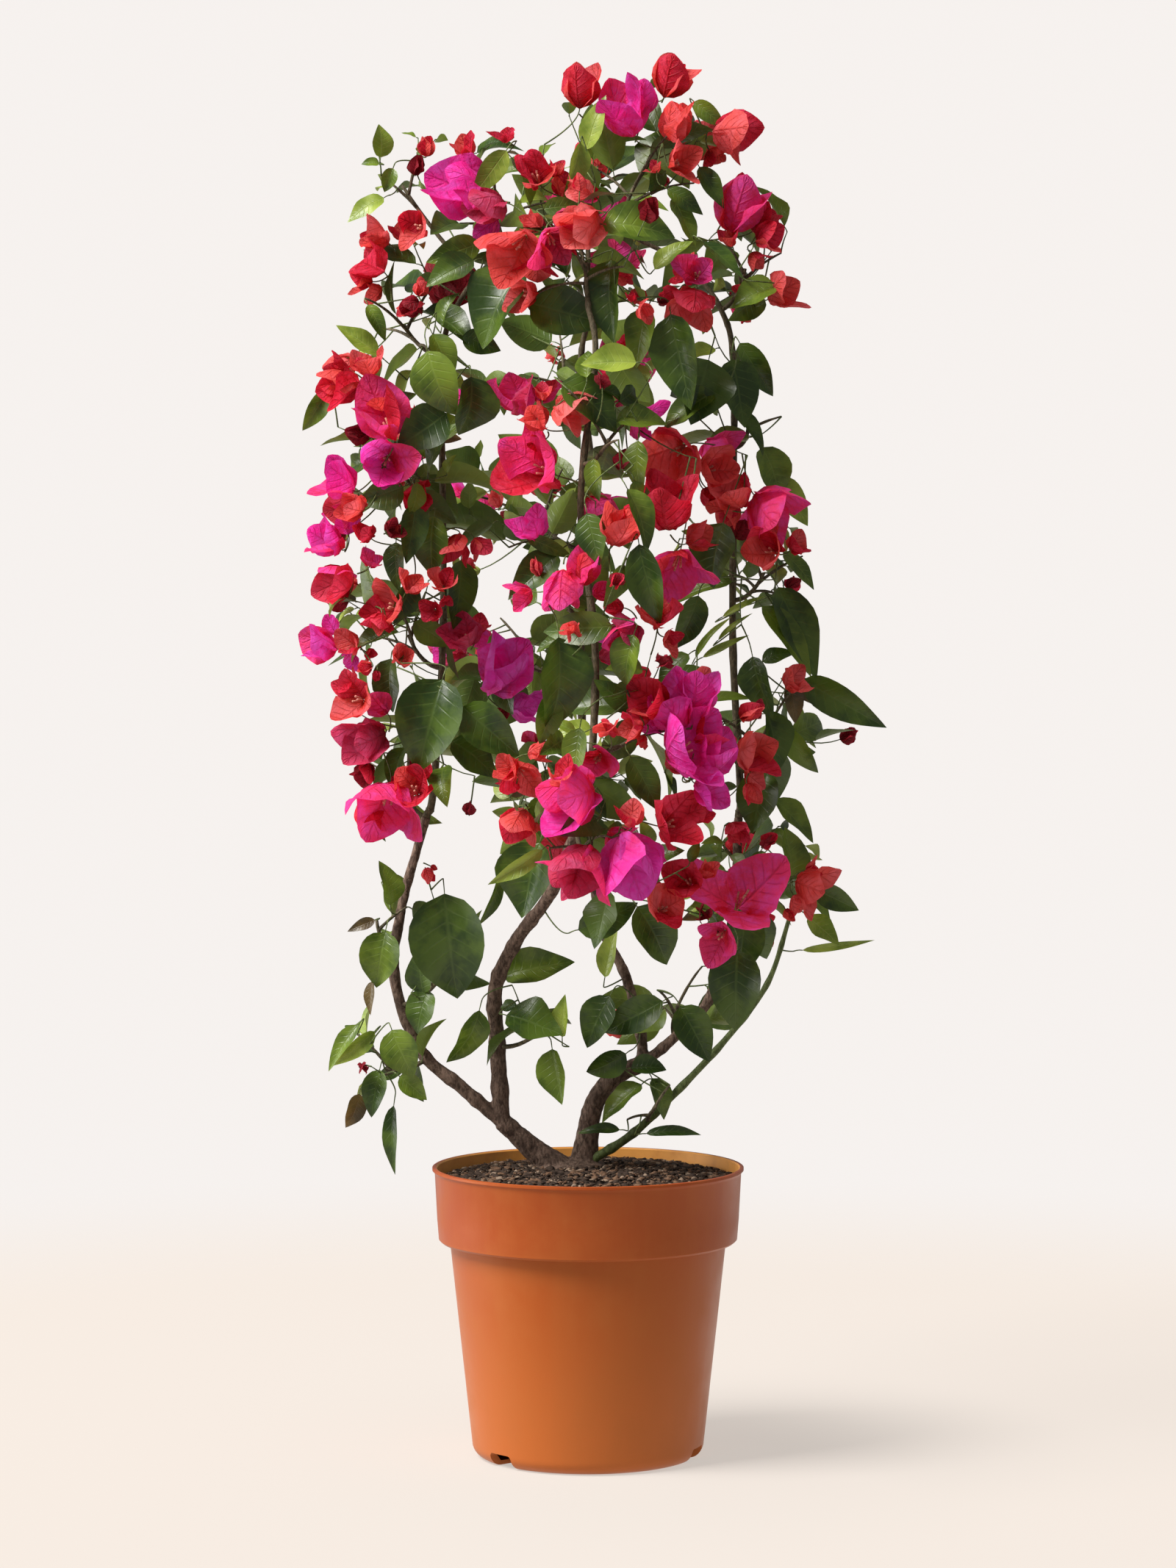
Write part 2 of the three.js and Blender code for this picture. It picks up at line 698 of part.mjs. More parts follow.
// A blade joins the mass in the first of its turns that has room: its root lies in its
// twig, and past the root it touches nothing.
const ROOT_LENGTH = 4;
function withBlade(solid, mass, turns, shape) {
  for (const turn of turns) {
    if (!isBladeFree(mass, turn, shape)) continue;
    const blade = solidOf(bladeGeometry(turn, shape));
    const place = turn.place.clone().addScaledVector(turn.direction, ROOT_LENGTH);
    const past = { ...turn, place, length: turn.length - ROOT_LENGTH };
    const touched = solid.intersect(solidOf(bladeGeometry(past, shape)));
    const rooted = solid.intersect(blade);
    if (touched.volume() === 0 && rooted.volume() > 0) return solid.add(blade);
  }
  return solid;
}

const thickerLimbs = wasm.Manifold.union(
  Object.keys(limbs).map((name) => limbSolid(name, CLEARANCE)),
);

function massSolid(mass) {
  const random = seededRandom(mass.seed);
  const stem = taperedTube(mass.stem, radiusAlong(STEM_RADII), 4, 3);
  let solid = largestBody(solidOf(stem).subtract(thickerLimbs));
  const bracts = [];
  const leaves = [];
  for (let i = 0; i < mass.twigs; i++) {
    const twig = twigCurve(mass, i, random);
    const grown = Array.from({ length: LEAVES_PER_TWIG }, (_, k) =>
      leafOn(mass, twig, k, random),
    );
    const bloom = bractsAt(twig, random);
    if (!isTwigFree(mass, twig)) continue;
    solid = solid.add(solidOf(taperedTube(twig, radiusAlong(TWIG_RADII), 3, TWIG_STEPS)));
    leaves.push(...grown);
    if ((i * mass.blooms) % mass.twigs < mass.blooms) bracts.push(...bloom);
  }
  for (const turns of bracts) solid = withBlade(solid, mass, turns, BRACT_BLADE);
  for (const turns of leaves) solid = withBlade(solid, mass, turns, LEAF_BLADE);
  return solid;
}

// ---- The plant ----

const plant = new THREE.Group();
plant.add(meshOf("pot", potSolid(), plastic));
plant.add(meshOf("soil", soilSolid(), pottingSoil));
plant.add(meshOf("trunk", trunkSolid(), bark));
for (const [name, { material }] of Object.entries(limbs))
  plant.add(meshOf(name, limbSolid(name), material));
for (const mass of masses)
  plant.add(meshOf(mass.name, massSolid(mass), mass.blooms > 1 ? blossom : leafy));

export default plant;
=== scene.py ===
import json
import math

import bmesh
import bpy
import numpy as np
from mathutils import Matrix, Quaternion, Vector, noise

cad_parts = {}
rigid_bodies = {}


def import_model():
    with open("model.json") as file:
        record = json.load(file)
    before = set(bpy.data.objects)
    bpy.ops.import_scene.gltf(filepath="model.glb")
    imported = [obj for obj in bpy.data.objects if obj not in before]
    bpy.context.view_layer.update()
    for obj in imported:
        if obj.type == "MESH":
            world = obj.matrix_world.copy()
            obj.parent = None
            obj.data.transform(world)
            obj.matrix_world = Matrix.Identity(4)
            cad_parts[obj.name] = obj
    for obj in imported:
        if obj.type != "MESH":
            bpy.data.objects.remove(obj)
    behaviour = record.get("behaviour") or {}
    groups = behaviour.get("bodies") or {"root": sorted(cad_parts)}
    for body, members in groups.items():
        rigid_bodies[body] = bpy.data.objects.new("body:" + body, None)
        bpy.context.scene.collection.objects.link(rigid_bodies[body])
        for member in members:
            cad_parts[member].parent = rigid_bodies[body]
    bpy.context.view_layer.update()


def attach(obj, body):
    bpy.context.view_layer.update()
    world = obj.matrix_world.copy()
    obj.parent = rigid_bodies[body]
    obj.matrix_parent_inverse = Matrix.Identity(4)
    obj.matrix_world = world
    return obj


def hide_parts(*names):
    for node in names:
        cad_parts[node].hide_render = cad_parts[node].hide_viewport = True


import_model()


# ---- Camera ----
# It stands in front of the plant on a tripod, a little above half its height, with a long
# lens tipped slightly down.

EYE_DISTANCE = 3.2
EYE_HEIGHT = 0.627
EYE_TIP = math.radians(2.713)
LENS = 104.5

lens = bpy.data.cameras.new("camera")
lens.lens = LENS
lens.clip_end = 100
camera = bpy.data.objects.new("camera", lens)
camera.location = (0, -EYE_DISTANCE, EYE_HEIGHT)
camera.rotation_euler = (math.pi / 2 - EYE_TIP, 0, 0)
bpy.context.scene.collection.objects.link(camera)
bpy.context.scene.camera = camera


# ---- Studio ----
# A warm white floor that fades into an even white room, lit by a wide soft box up on the left
# in front and a weaker one low at the left side, with the room's own light in the shadows.

FLOOR_TINTS = ((0.250, 0.229, 0.212, 1), (0.060, 0.055, 0.051, 1))  # by the pot, and further out
FLOOR_GLOWS = ((0.539, 0.495, 0.455, 1), (0.843, 0.762, 0.693, 1))
FLOOR_NEAR = (0.13, 0.40)  # from its middle, where the one turns into the other
FLOOR_FADE = (0.75, 1.5)  # from its middle, where it starts and ends to fade
ROOM_TINT = (0.925, 0.885, 0.86, 1)
FILL_TINT = (1, 0.985, 0.97, 1)
FILL_STRENGTH = 0.27
KEY_PLACE = (-1.95, -1.1, 2.9)
KEY_SIZE = 1.5
KEY_POWER = 198
SIDE_PLACE = (-2.6, 0.3, 0.45)
SIDE_SIZE = 1.4
SIDE_POWER = 32
LIGHT_TINT = (1, 0.975, 0.94)
AIM = Vector((0, 0, 0.45))  # where both of them point


class Nodes:
    """The node tree of a material, group or world, with a short way to add to it."""

    def __init__(self, tree):
        self.tree = tree

    def add(self, kind, inputs=(), **settings):
        """Adds a node; inputs holds a value or another node's output for each socket."""
        made = self.tree.nodes.new(kind)
        for name, value in settings.items():
            setattr(made, name, value)
        for socket, value in dict(inputs).items():
            if isinstance(value, bpy.types.NodeSocket):
                self.tree.links.new(value, made.inputs[socket])
            else:
                made.inputs[socket].default_value = value
        return made

    def math(self, operation, a, b=0.0):
        return self.add("ShaderNodeMath", {0: a, 1: b}, operation=operation).outputs[0]

    def ramp(self, value, low, high, to_low=0.0, to_high=1.0):
        """value from low to high, eased, as a number from to_low to to_high."""
        inputs = {0: value, 1: low, 2: high, 3: to_low, 4: to_high}
        return self.add("ShaderNodeMapRange", inputs, interpolation_type="SMOOTHSTEP").outputs[0]

    def mix(self, share, a, b):
        """One colour turning into another."""
        return self.add("ShaderNodeMix", {0: share, 6: a, 7: b}, data_type="RGBA").outputs[2]

    def noise(self, vector, scale, detail=4.0, roughness=0.55, distortion=0.0):
        """Cloudy patches from 0 to 1."""
        inputs = {"Vector": vector, "Scale": scale, "Detail": detail, "Roughness": roughness}
        inputs["Distortion"] = distortion
        return self.add("ShaderNodeTexNoise", inputs).outputs[0]

    def bump(self, height, strength, distance):
        """A finish's relief, as the normal that it gives the surface."""
        inputs = {"Strength": strength, "Distance": distance, "Height": height}
        return self.add("ShaderNodeBump", inputs).outputs[0]


def new_material(name):
    """An empty material's nodes, its surface's own coordinates and its output."""
    material = bpy.data.materials.new(name)
    material.use_nodes = True
    material.node_tree.nodes.clear()
    nodes = Nodes(material.node_tree)
    place = nodes.add("ShaderNodeTexCoord")
    output = nodes.add("ShaderNodeOutputMaterial")
    return material, nodes, place, output


def new_object(name, bm):
    """A mesh object from a bmesh, which is used up."""
    mesh = bpy.data.meshes.new(name)
    bm.to_mesh(mesh)
    bm.free()
    thing = bpy.data.objects.new(name, mesh)
    bpy.context.scene.collection.objects.link(thing)
    return thing


floor_paint, nodes, place, output = new_material("studio_floor")
middle = nodes.add("ShaderNodeVectorMath", {0: place.outputs["Object"]}, operation="LENGTH")
fade = nodes.ramp(middle.outputs["Value"], *FLOOR_FADE)
far = nodes.ramp(middle.outputs["Value"], *FLOOR_NEAR)
floor_tint, floor_glow = nodes.mix(far, *FLOOR_TINTS), nodes.mix(far, *FLOOR_GLOWS)
matt = nodes.add("ShaderNodeBsdfDiffuse", {"Color": floor_tint, "Roughness": 0.8})
clear = nodes.add("ShaderNodeBsdfTransparent")
glow = nodes.add("ShaderNodeEmission", {"Color": floor_glow, "Strength": 1.0})
lit = nodes.add("ShaderNodeAddShader", {0: matt.outputs[0], 1: glow.outputs[0]})
blend = nodes.add("ShaderNodeMixShader", {0: fade, 1: lit.outputs[0], 2: clear.outputs[0]})
nodes.tree.links.new(blend.outputs[0], output.inputs["Surface"])

bm = bmesh.new()
bmesh.ops.create_circle(bm, cap_ends=True, segments=96, radius=FLOOR_FADE[1] + 0.05)
studio_floor = new_object("studio_floor", bm)
studio_floor.data.materials.append(floor_paint)

room = bpy.data.worlds.new("studio_room")
room.use_nodes = True
room.node_tree.nodes.clear()
nodes = Nodes(room.node_tree)
seen = nodes.add("ShaderNodeBackground", {"Color": ROOM_TINT, "Strength": 1.0})
light = nodes.add("ShaderNodeBackground", {"Color": FILL_TINT, "Strength": FILL_STRENGTH})
ray = nodes.add("ShaderNodeLightPath")
both = nodes.add(
    "ShaderNodeMixShader",
    {0: ray.outputs["Is Camera Ray"], 1: light.outputs[0], 2: seen.outputs[0]},
)
output = nodes.add("ShaderNodeOutputWorld", {"Surface": both.outputs[0]})
bpy.context.scene.world = room

for name, place, size, power in (
    ("soft_box", KEY_PLACE, KEY_SIZE, KEY_POWER),
    ("side_box", SIDE_PLACE, SIDE_SIZE, SIDE_POWER),
):
    box_light = bpy.data.lights.new(name, "AREA")
    box_light.size, box_light.energy = size, power
    box_light.color = LIGHT_TINT
    soft_box = bpy.data.objects.new(name, box_light)
    soft_box.location = place
    soft_box.rotation_euler = (AIM - Vector(place)).to_track_quat("-Z", "Y").to_euler()
    soft_box.visible_camera = False
    bpy.context.scene.collection.objects.link(soft_box)
bpy.context.scene.view_settings.view_transform = "Standard"


# ---- Pot ----
# A 22 cm nursery pot of thin terracotta-coloured plastic, injection moulded in one piece: a
# tapered body, a wide band under a thin lip, and a flat foot with slots that drain it.

POT_HEIGHT = 0.205
BAND_FOOT = 0.153
RIM_RADIUS = 0.110
FOOT_RADIUS = 0.082
FOOT_ROUNDING = 0.010
WALL = 0.002
POT_SECTION = [
    (0.0976, BAND_FOOT), (0.1036, BAND_FOOT - 0.0004), (0.1054, BAND_FOOT + 0.0012),
    (0.1066, BAND_FOOT + 0.016), (0.1082, 0.2005), (0.1090, 0.2024), (RIM_RADIUS, 0.2030),
    (RIM_RADIUS, POT_HEIGHT - 0.0004), (0.1094, POT_HEIGHT), (0.1074, POT_HEIGHT),
    (0.1065, POT_HEIGHT - 0.0009), (0.1038, BAND_FOOT + 0.0034), (0.1030, BAND_FOOT + 0.0022),
    (0.0956, BAND_FOOT + 0.0018), (FOOT_RADIUS - WALL, 0.013), (0.072, 0.003), (0, 0.003),
]
POT_SEGMENTS = 96
INSIDE_FROM = 0.004  # the height at which the inner side of the wall starts
NOTCHES = 3
NOTCH_SIZE = (0.046, 0.022, 0.020)
NOTCH_ROUNDING = 0.003
FIRST_NOTCH = math.radians(221)
CREASE = math.radians(38)  # an edge sharper than this stays crisp
PLASTIC = (0.375, 0.074, 0.0115, 1)
PLASTIC_WORN = (0.42, 0.118, 0.026, 1)
PLASTIC_BAND = (0.335, 0.054, 0.0095, 1)
PLASTIC_FOOT = (0.500, 0.128, 0.027, 1)
# the inner wall's tint is painted light: far paler and yellower than the outside, it paints the
# glow of light through the thin plastic
PLASTIC_INSIDE_PAINTED_GLOW = (0.90, 0.40, 0.085, 1)


def add_piece(thing, slot, nodes, *materials):
    """Puts a finished piece, with its materials, on the plant's body and hides the solids it
    stands for.
    """
    for material in materials:
        thing.data.materials.append(material)
    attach(thing, "root")
    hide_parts(*nodes)
    return thing


def settle(thing):
    """Makes an object's modifiers part of its mesh."""
    graph = bpy.context.evaluated_depsgraph_get()
    mesh = bpy.data.meshes.new_from_object(thing.evaluated_get(graph))
    thing.modifiers.clear()
    thing.data = mesh


bm = bmesh.new()
corner = [
    (
        FOOT_RADIUS - FOOT_ROUNDING * (1 - math.sin(turn)),
        FOOT_ROUNDING * (1 - math.cos(turn)),
    )
    for turn in (math.pi / 2 * i / 8 for i in range(9))
]
rings = [bm.verts.new((r, 0, z)) for r, z in [(0, 0), *corner, *POT_SECTION]]
for below, above in zip(rings, rings[1:]):
    bm.edges.new((below, above))
bmesh.ops.spin(
    bm,
    geom=bm.verts[:] + bm.edges[:],
    cent=(0, 0, 0),
    axis=(0, 0, 1),
    angle=2 * math.pi,
    steps=POT_SEGMENTS,
    use_merge=True,
)
bmesh.ops.remove_doubles(bm, verts=bm.verts, dist=1e-6)
bmesh.ops.recalc_face_normals(bm, faces=bm.faces)
pot = new_object("nursery_pot", bm)

bm = bmesh.new()
block = bmesh.ops.create_cube(bm, size=1)["verts"]
bmesh.ops.scale(bm, vec=NOTCH_SIZE, verts=block)
along = [e for e in bm.edges if abs(e.verts[0].co.x - e.verts[1].co.x) > 0.01]
bmesh.ops.bevel(
    bm,
    geom=along,
    offset=NOTCH_ROUNDING,
    affect="EDGES",
    segments=4,
    profile=0.5,
    material=-1,
)
bmesh.ops.translate(bm, vec=(FOOT_RADIUS, 0, 0), verts=bm.verts)
bmesh.ops.rotate(bm, matrix=Matrix.Rotation(FIRST_NOTCH, 3, "Z"), verts=bm.verts)
bmesh.ops.spin(
    bm,
    geom=bm.verts[:] + bm.edges[:] + bm.faces[:],
    cent=(0, 0, 0),
    axis=(0, 0, 1),
    angle=2 * math.pi * (NOTCHES - 1) / NOTCHES,
    steps=NOTCHES - 1,
    use_duplicate=True,
)
cutter = new_object("notch_cutter", bm)
cut = pot.modifiers.new("drainage", "BOOLEAN")
cut.operation, cut.solver, cut.object = "DIFFERENCE", "EXACT", cutter
settle(pot)
bpy.data.objects.remove(cutter)
pot.data.polygons.foreach_set("use_smooth", [True] * len(pot.data.polygons))
pot.data.set_sharp_from_angle(angle=CREASE)

for face in pot.data.polygons:
    outward = Vector((face.center.x, face.center.y, 0)).normalized()
    if face.normal.dot(outward) < -0.5 and face.center.z > INSIDE_FROM:
        face.material_index = 1

plastic, nodes, place, output = new_material("terracotta_plastic")
wear = nodes.noise(place.outputs["Object"], 26.0, 5.0, 0.6)
flow_space = nodes.add(
    "ShaderNodeMapping", {"Vector": place.outputs["Object"], "Scale": (60, 60, 4)}
)
flow = nodes.noise(flow_space.outputs[0], 1.0, 3.0)
grit = nodes.noise(place.outputs["Object"], 900.0, 2.0)
height = nodes.add("ShaderNodeSeparateXYZ", {0: place.outputs["Object"]}).outputs[2]
tint = nodes.mix(nodes.ramp(height, 0.0, BAND_FOOT, 0.0, 1.0), PLASTIC_FOOT, PLASTIC)
tint = nodes.mix(nodes.ramp(height, BAND_FOOT - 0.001, BAND_FOOT + 0.004), tint, PLASTIC_BAND)
tint = nodes.mix(nodes.ramp(wear, 0.35, 0.75, 0.0, 0.35), tint, PLASTIC_WORN)
tint = nodes.mix(nodes.ramp(flow, 0.3, 0.8, 0.0, 0.22), tint, PLASTIC_WORN)
gloss = nodes.ramp(wear, 0.3, 0.8, 0.34, 0.48)
relief = nodes.math("ADD", nodes.math("MULTIPLY", grit, 0.3), flow)
skin = nodes.add(
    "ShaderNodeBsdfPrincipled",
    {
        "Base Color": tint,
        "Roughness": gloss,
        "Specular IOR Level": 0.5,
        "Specular Tint": (1, 0.66, 0.40, 1),
        "Normal": nodes.bump(relief, 0.25, 0.0003),
    },
)
nodes.tree.links.new(skin.outputs[0], output.inputs["Surface"])

# The inner wall: its pale tint is painted light, the glow through the thin plastic, and it is
# darker in damp patches.
plastic_inside_painted_glow, nodes, place, output = new_material("plastic_inside_painted_glow")
damp = nodes.noise(place.outputs["Object"], 40.0, 5.0, 0.6)
tint = nodes.mix(nodes.ramp(damp, 0.4, 0.8, 0.0, 0.4), PLASTIC_INSIDE_PAINTED_GLOW, PLASTIC)
skin = nodes.add(
    "ShaderNodeBsdfPrincipled",
    {"Base Color": tint, "Roughness": 0.5, "Normal": nodes.bump(damp, 0.2, 0.0003)},
)
nodes.tree.links.new(skin.outputs[0], output.inputs["Surface"])
add_piece(pot, "pot", ["pot"], plastic, plastic_inside_painted_glow)


# ---- Soil ----
# Dark bark compost: a firmed bed that fills the pot and rises a little to the plant, with
# loose chips and crumbs of bark strewn all over it.

SOIL_LEVEL = 0.203
SOIL_EDGE = 0.1966
SOIL_FLAT = 0.048  # the radius as far as which the bed is level
SOIL_RADIUS = 0.1045
SOIL_SECTION = [
    (0, SOIL_LEVEL), (0.012, SOIL_LEVEL), (0.024, SOIL_LEVEL), (0.036, SOIL_LEVEL),
    (SOIL_FLAT, SOIL_LEVEL), (0.062, 0.2016), (0.076, 0.2000), (0.090, 0.1984),
    (SOIL_RADIUS, SOIL_EDGE), (0.103, 0.161), (0.0945, 0.156), (0.079, 0.016),
    (0.070, 0.0105), (0, 0.0105),
]
SOIL_SURFACE_FROM = 0.19  # the bed's corners over this height are on its surface
SOIL_RIM = 0.0015  # how far in from the pot's wall the surface stays smooth
COMPOST = ((0.022, 0.014, 0.010, 1), (0.060, 0.037, 0.024, 1))
CHIPS = {"soil_chips_dark": 2100, "soil_chips_brown": 1200, "soil_chips_grey": 420}
CHIP_TINTS = {
    "soil_chips_dark": (0.034, 0.021, 0.014, 1),
    "soil_chips_brown": (0.120, 0.068, 0.040, 1),
    "soil_chips_grey": (0.220, 0.160, 0.115, 1),
}
CHIP_LENGTHS = (0.0022, 0.0085)
CHIP_SPREAD = 0.1015
CHIP_PALER = 1.9  # how much paler a chip's worn places are


def soil_height(x, y):
    """The height of the firmed bed at a place."""
    radius = math.hypot(x, y)
    slope = max(0.0, radius - SOIL_FLAT) / (SOIL_RADIUS - SOIL_FLAT)
    return SOIL_LEVEL + (SOIL_EDGE - SOIL_LEVEL) * slope


def on_surface(corner, radius):
    """Whether a corner is on the bed's surface and nearer to its middle than a radius."""
    return corner.co.z > SOIL_SURFACE_FROM and math.hypot(*corner.co.xy) < radius


def seeded_random(seed):
    """Numbers from 0 to 1, the same ones each time."""
    state = seed

    def draw():
        nonlocal state
        state = state * 48271 % 2147483647
        return state / 2147483647

    return draw


def earthy(name, dark, light, scale):
    """The finish of damp bark compost."""
    material, nodes, place, output = new_material(name)
    patches = nodes.noise(place.outputs["Object"], scale, 6.0, 0.65)
    fine = nodes.noise(place.outputs["Object"], scale * 7, 3.0)
    tint = nodes.mix(nodes.ramp(patches, 0.35, 0.7), dark, light)
    skin = nodes.add(
        "ShaderNodeBsdfPrincipled",
        {
            "Base Color": tint,
            "Roughness": nodes.ramp(fine, 0.3, 0.7, 0.72, 0.95),
            "Specular IOR Level": 0.3,
            "Normal": nodes.bump(nodes.math("ADD", patches, fine), 0.6, 0.0008),
        },
    )
    nodes.tree.links.new(skin.outputs[0], output.inputs["Surface"])
    return material


bm = bmesh.new()
rings = [bm.verts.new((r, 0, z)) for r, z in SOIL_SECTION]
for inner, outer in zip(rings, rings[1:]):
    bm.edges.new((inner, outer))
bmesh.ops.spin(
    bm,
    geom=bm.verts[:] + bm.edges[:],
    cent=(0, 0, 0),
    axis=(0, 0, 1),
    angle=2 * math.pi,
    steps=90,
    use_merge=True,
)
bmesh.ops.remove_doubles(bm, verts=bm.verts, dist=1e-6)
bmesh.ops.recalc_face_normals(bm, faces=bm.faces)
top = [e for e in bm.edges if all(on_surface(v, SOIL_RADIUS + 0.0001) for v in e.verts)]
bmesh.ops.subdivide_edges(bm, edges=top, cuts=1, use_grid_fill=True)
for v in bm.verts:
    if on_surface(v, SOIL_RADIUS - SOIL_RIM):
        v.co.z += 0.0016 * noise.fractal(v.co * 90, 0.7, 2.1, 4) - 0.0006
bed = new_object("soil_bed", bm)
bed.data.polygons.foreach_set("use_smooth", [True] * len(bed.data.polygons))
add_piece(bed, "soil", ["soil"], earthy("compost", *COMPOST, 260.0))


class Form:
    """A small shape that is copied many times: its corners, faces and map."""

    def __init__(self, bm):
        bm.verts.index_update()
        layer = bm.loops.layers.uv.verify()
        self.corners = np.array([v.co for v in bm.verts])
        self.sizes = np.array([len(f.verts) for f in bm.faces])
        self.loops = np.array([v.index for f in bm.faces for v in f.verts])
        self.map = np.array([loop[layer].uv for f in bm.faces for loop in f.loops])
        bm.free()


def join_copies(name, parts):
    """One mesh object of many copies; a part is a form and where each copy's corners lie."""
    places, loops, sizes, maps, base = [], [], [], [], 0
    for form, copies in parts:
        copies = np.asarray(copies)
        count, corners = copies.shape[:2]
        places.append(copies.reshape(-1, 3))
        loops.append((base + corners * np.arange(count)[:, None] + form.loops).ravel())
        sizes.append(np.tile(form.sizes, count))
        maps.append(np.tile(form.map, (count, 1)))
        base += count * corners
    places, loops, sizes, maps = map(np.concatenate, (places, loops, sizes, maps))
    mesh = bpy.data.meshes.new(name)
    mesh.vertices.add(len(places))
    mesh.vertices.foreach_set("co", places.ravel())
    mesh.loops.add(len(loops))
    mesh.loops.foreach_set("vertex_index", loops)
    mesh.polygons.add(len(sizes))
    mesh.polygons.foreach_set("loop_start", np.cumsum(sizes) - sizes)
    mesh.polygons.foreach_set("use_smooth", np.ones(len(sizes), bool))
    mesh.update(calc_edges=True)
    mesh.validate()
    mesh.uv_layers.new(name="map").data.foreach_set("uv", maps.ravel())
    thing = bpy.data.objects.new(name, mesh)
    bpy.context.scene.collection.objects.link(thing)
    return thing


def turned(direction, facing):
    """A turn that sends +Y to direction and +Z towards facing."""
    direction = Vector(direction).normalized()
    across = direction.cross(Vector(facing))
    if across.length < 1e-6:
        across = direction.orthogonal()
    across.normalize()
    return Matrix((across, direction, across.cross(direction))).transposed()


random = seeded_random(77)
for name, count in CHIPS.items():
    bm = bmesh.new()
    bmesh.ops.create_icosphere(bm, subdivisions=1, radius=0.5)
    for v in bm.verts:
        v.co *= 0.75 + 0.6 * random()
    chip = Form(bm)
    copies = []
    for _ in range(count):
        turn, radius = 2 * math.pi * random(), CHIP_SPREAD * math.sqrt(random())
        x, y = radius * math.cos(turn), radius * math.sin(turn)
        low, high = CHIP_LENGTHS
        length = low + (high - low) * random() ** 2.2
        size = Vector((length * (0.3 + 0.4 * random()), length, length * (0.2 + 0.3 * random())))
        spin = 2 * math.pi * random()
        tip = Vector((math.cos(spin), math.sin(spin), 0.9 * (random() - 0.5)))
        lean = turned(tip, Vector((random() - 0.5, random() - 0.5, 1)))
        centre = np.array((x, y, soil_height(x, y) + 0.0006 * random()))
        copies.append((chip.corners * np.array(size)) @ np.array(lean).T + centre)
    tint = CHIP_TINTS[name]
    pale = tuple(min(1, CHIP_PALER * c) for c in tint[:3]) + (1,)
    chips = join_copies(name, [(chip, copies)])
    add_piece(chips, "soil", ["soil"], earthy(name, tint, pale, 500.0))


# ---- Trunk and boughs ----
# Grey-brown wood: two short legs on one root crown fork just above the soil, and five boughs
# lead away from them to the four sides. The bark is finely ridged, with knots where shoots
# were pruned off. Lengths of the plant are in millimetres, as a gardener's sketch has them.

MM = 0.001
UP = Vector((0, 0, 1))
LEFT_LEG = [(-8, 17, 192), (-29, 14, 207), (-61, 8, 236)]
RIGHT_LEG = [(-4, 20, 190), (-1, 19, 218), (4, 17, 246), (18, 14, 266), (39, 12, 277)]
LEG_FOOT = 203  # the height at which a leg comes out of the soil
LEG_RADIUS = 7.4
FLARE = 0.55
FLARE_HEIGHT = 14
ROOT_CROWN = {"centre": (-14, 17, 201), "half": (29, 18, 8)}
BOUGHS = {  # where each passes, and its radius at its foot and at its end
    "left_leader": (
        [(-61, 8, 236), (-90, 4, 261), (-118, 2, 287), (-136, 0, 336), (-132, 0, 385),
         (-114, 0, 452)],
        (4.6, 2.8),
    ),
    "centre_leader": (
        [(-61, 8, 236), (-64, 4, 290), (-65, -8, 332), (-50, -24, 367), (-26, -52, 402),
         (-6, -88, 452)],
        (5.6, 3.6),
    ),
    "back_leader": (
        [(39, 12, 277), (37, 20, 300), (27, 34, 336), (8, 58, 378), (0, 92, 452)],
        (3.6, 2.9),
    ),
    "right_leader": (
        [(39, 12, 277), (60, 10, 294), (86, 6, 324), (102, 3, 384), (106, 0, 452)],
        (3.4, 2.9),
    ),
}
GREEN_SHOOT = (
    [(2, 15, 207), (30, 6, 226), (57, 2, 252), (96, -10, 295), (126, -14, 336), (142, -14, 384)],
    (3.4, 1.5),
)
BARK_DARK = (0.046, 0.027, 0.018, 1)
BARK_LIGHT = (0.235, 0.155, 0.115, 1)
LEG_STEPS = 40
LIMB_STEPS = 90
BARK_VOXEL = 0.0009
BARK_RELIEF = 0.0005


def curve_through(points):
    """A smooth curve through points: the place at a share of its steps."""
    points = [Vector(p) for p in points]
    last = len(points) - 1

    def at(share):
        step = last * share
        i = min(int(step), last - 1)
        w = step - i
        before = points[i - 1] if i else points[0] * 2 - points[1]
        after = points[i + 2] if i + 2 <= last else points[last] * 2 - points[last - 1]
        a, b = points[i], points[i + 1]
        leave, arrive = (b - before) / 2, (after - a) / 2
        bend = b * 3 - a * 3 - leave * 2 - arrive
        return a + leave * w + bend * w**2 + (a * 2 - b * 2 + leave + arrive) * w**3

    return at


def arch(start, bend, end):
    """A quadratic curve from start to end, drawn towards bend."""
    return lambda share: start * (1 - share) ** 2 + bend * 2 * share * (1 - share) + end * share**2


def tangent(curve, share):
    """The direction of a curve at a share of its steps."""
    return (curve(min(1, share + 1e-4)) - curve(max(0, share - 1e-4))).normalized()


def tube_form(sides, steps):
    """A closed straight tube of radius one and length one, in steps."""
    bm = bmesh.new()
    bmesh.ops.create_cone(bm, cap_ends=True, segments=sides, radius1=1, radius2=1, depth=1)
    bmesh.ops.translate(bm, vec=(0, 0, 0.5), verts=bm.verts)
    for i in range(1, steps):
        bmesh.ops.bisect_plane(
            bm,
            geom=bm.verts[:] + bm.edges[:] + bm.faces[:],
            plane_co=(0, 0, i / steps),
            plane_no=(0, 0, 1),
        )
    return Form(bm)


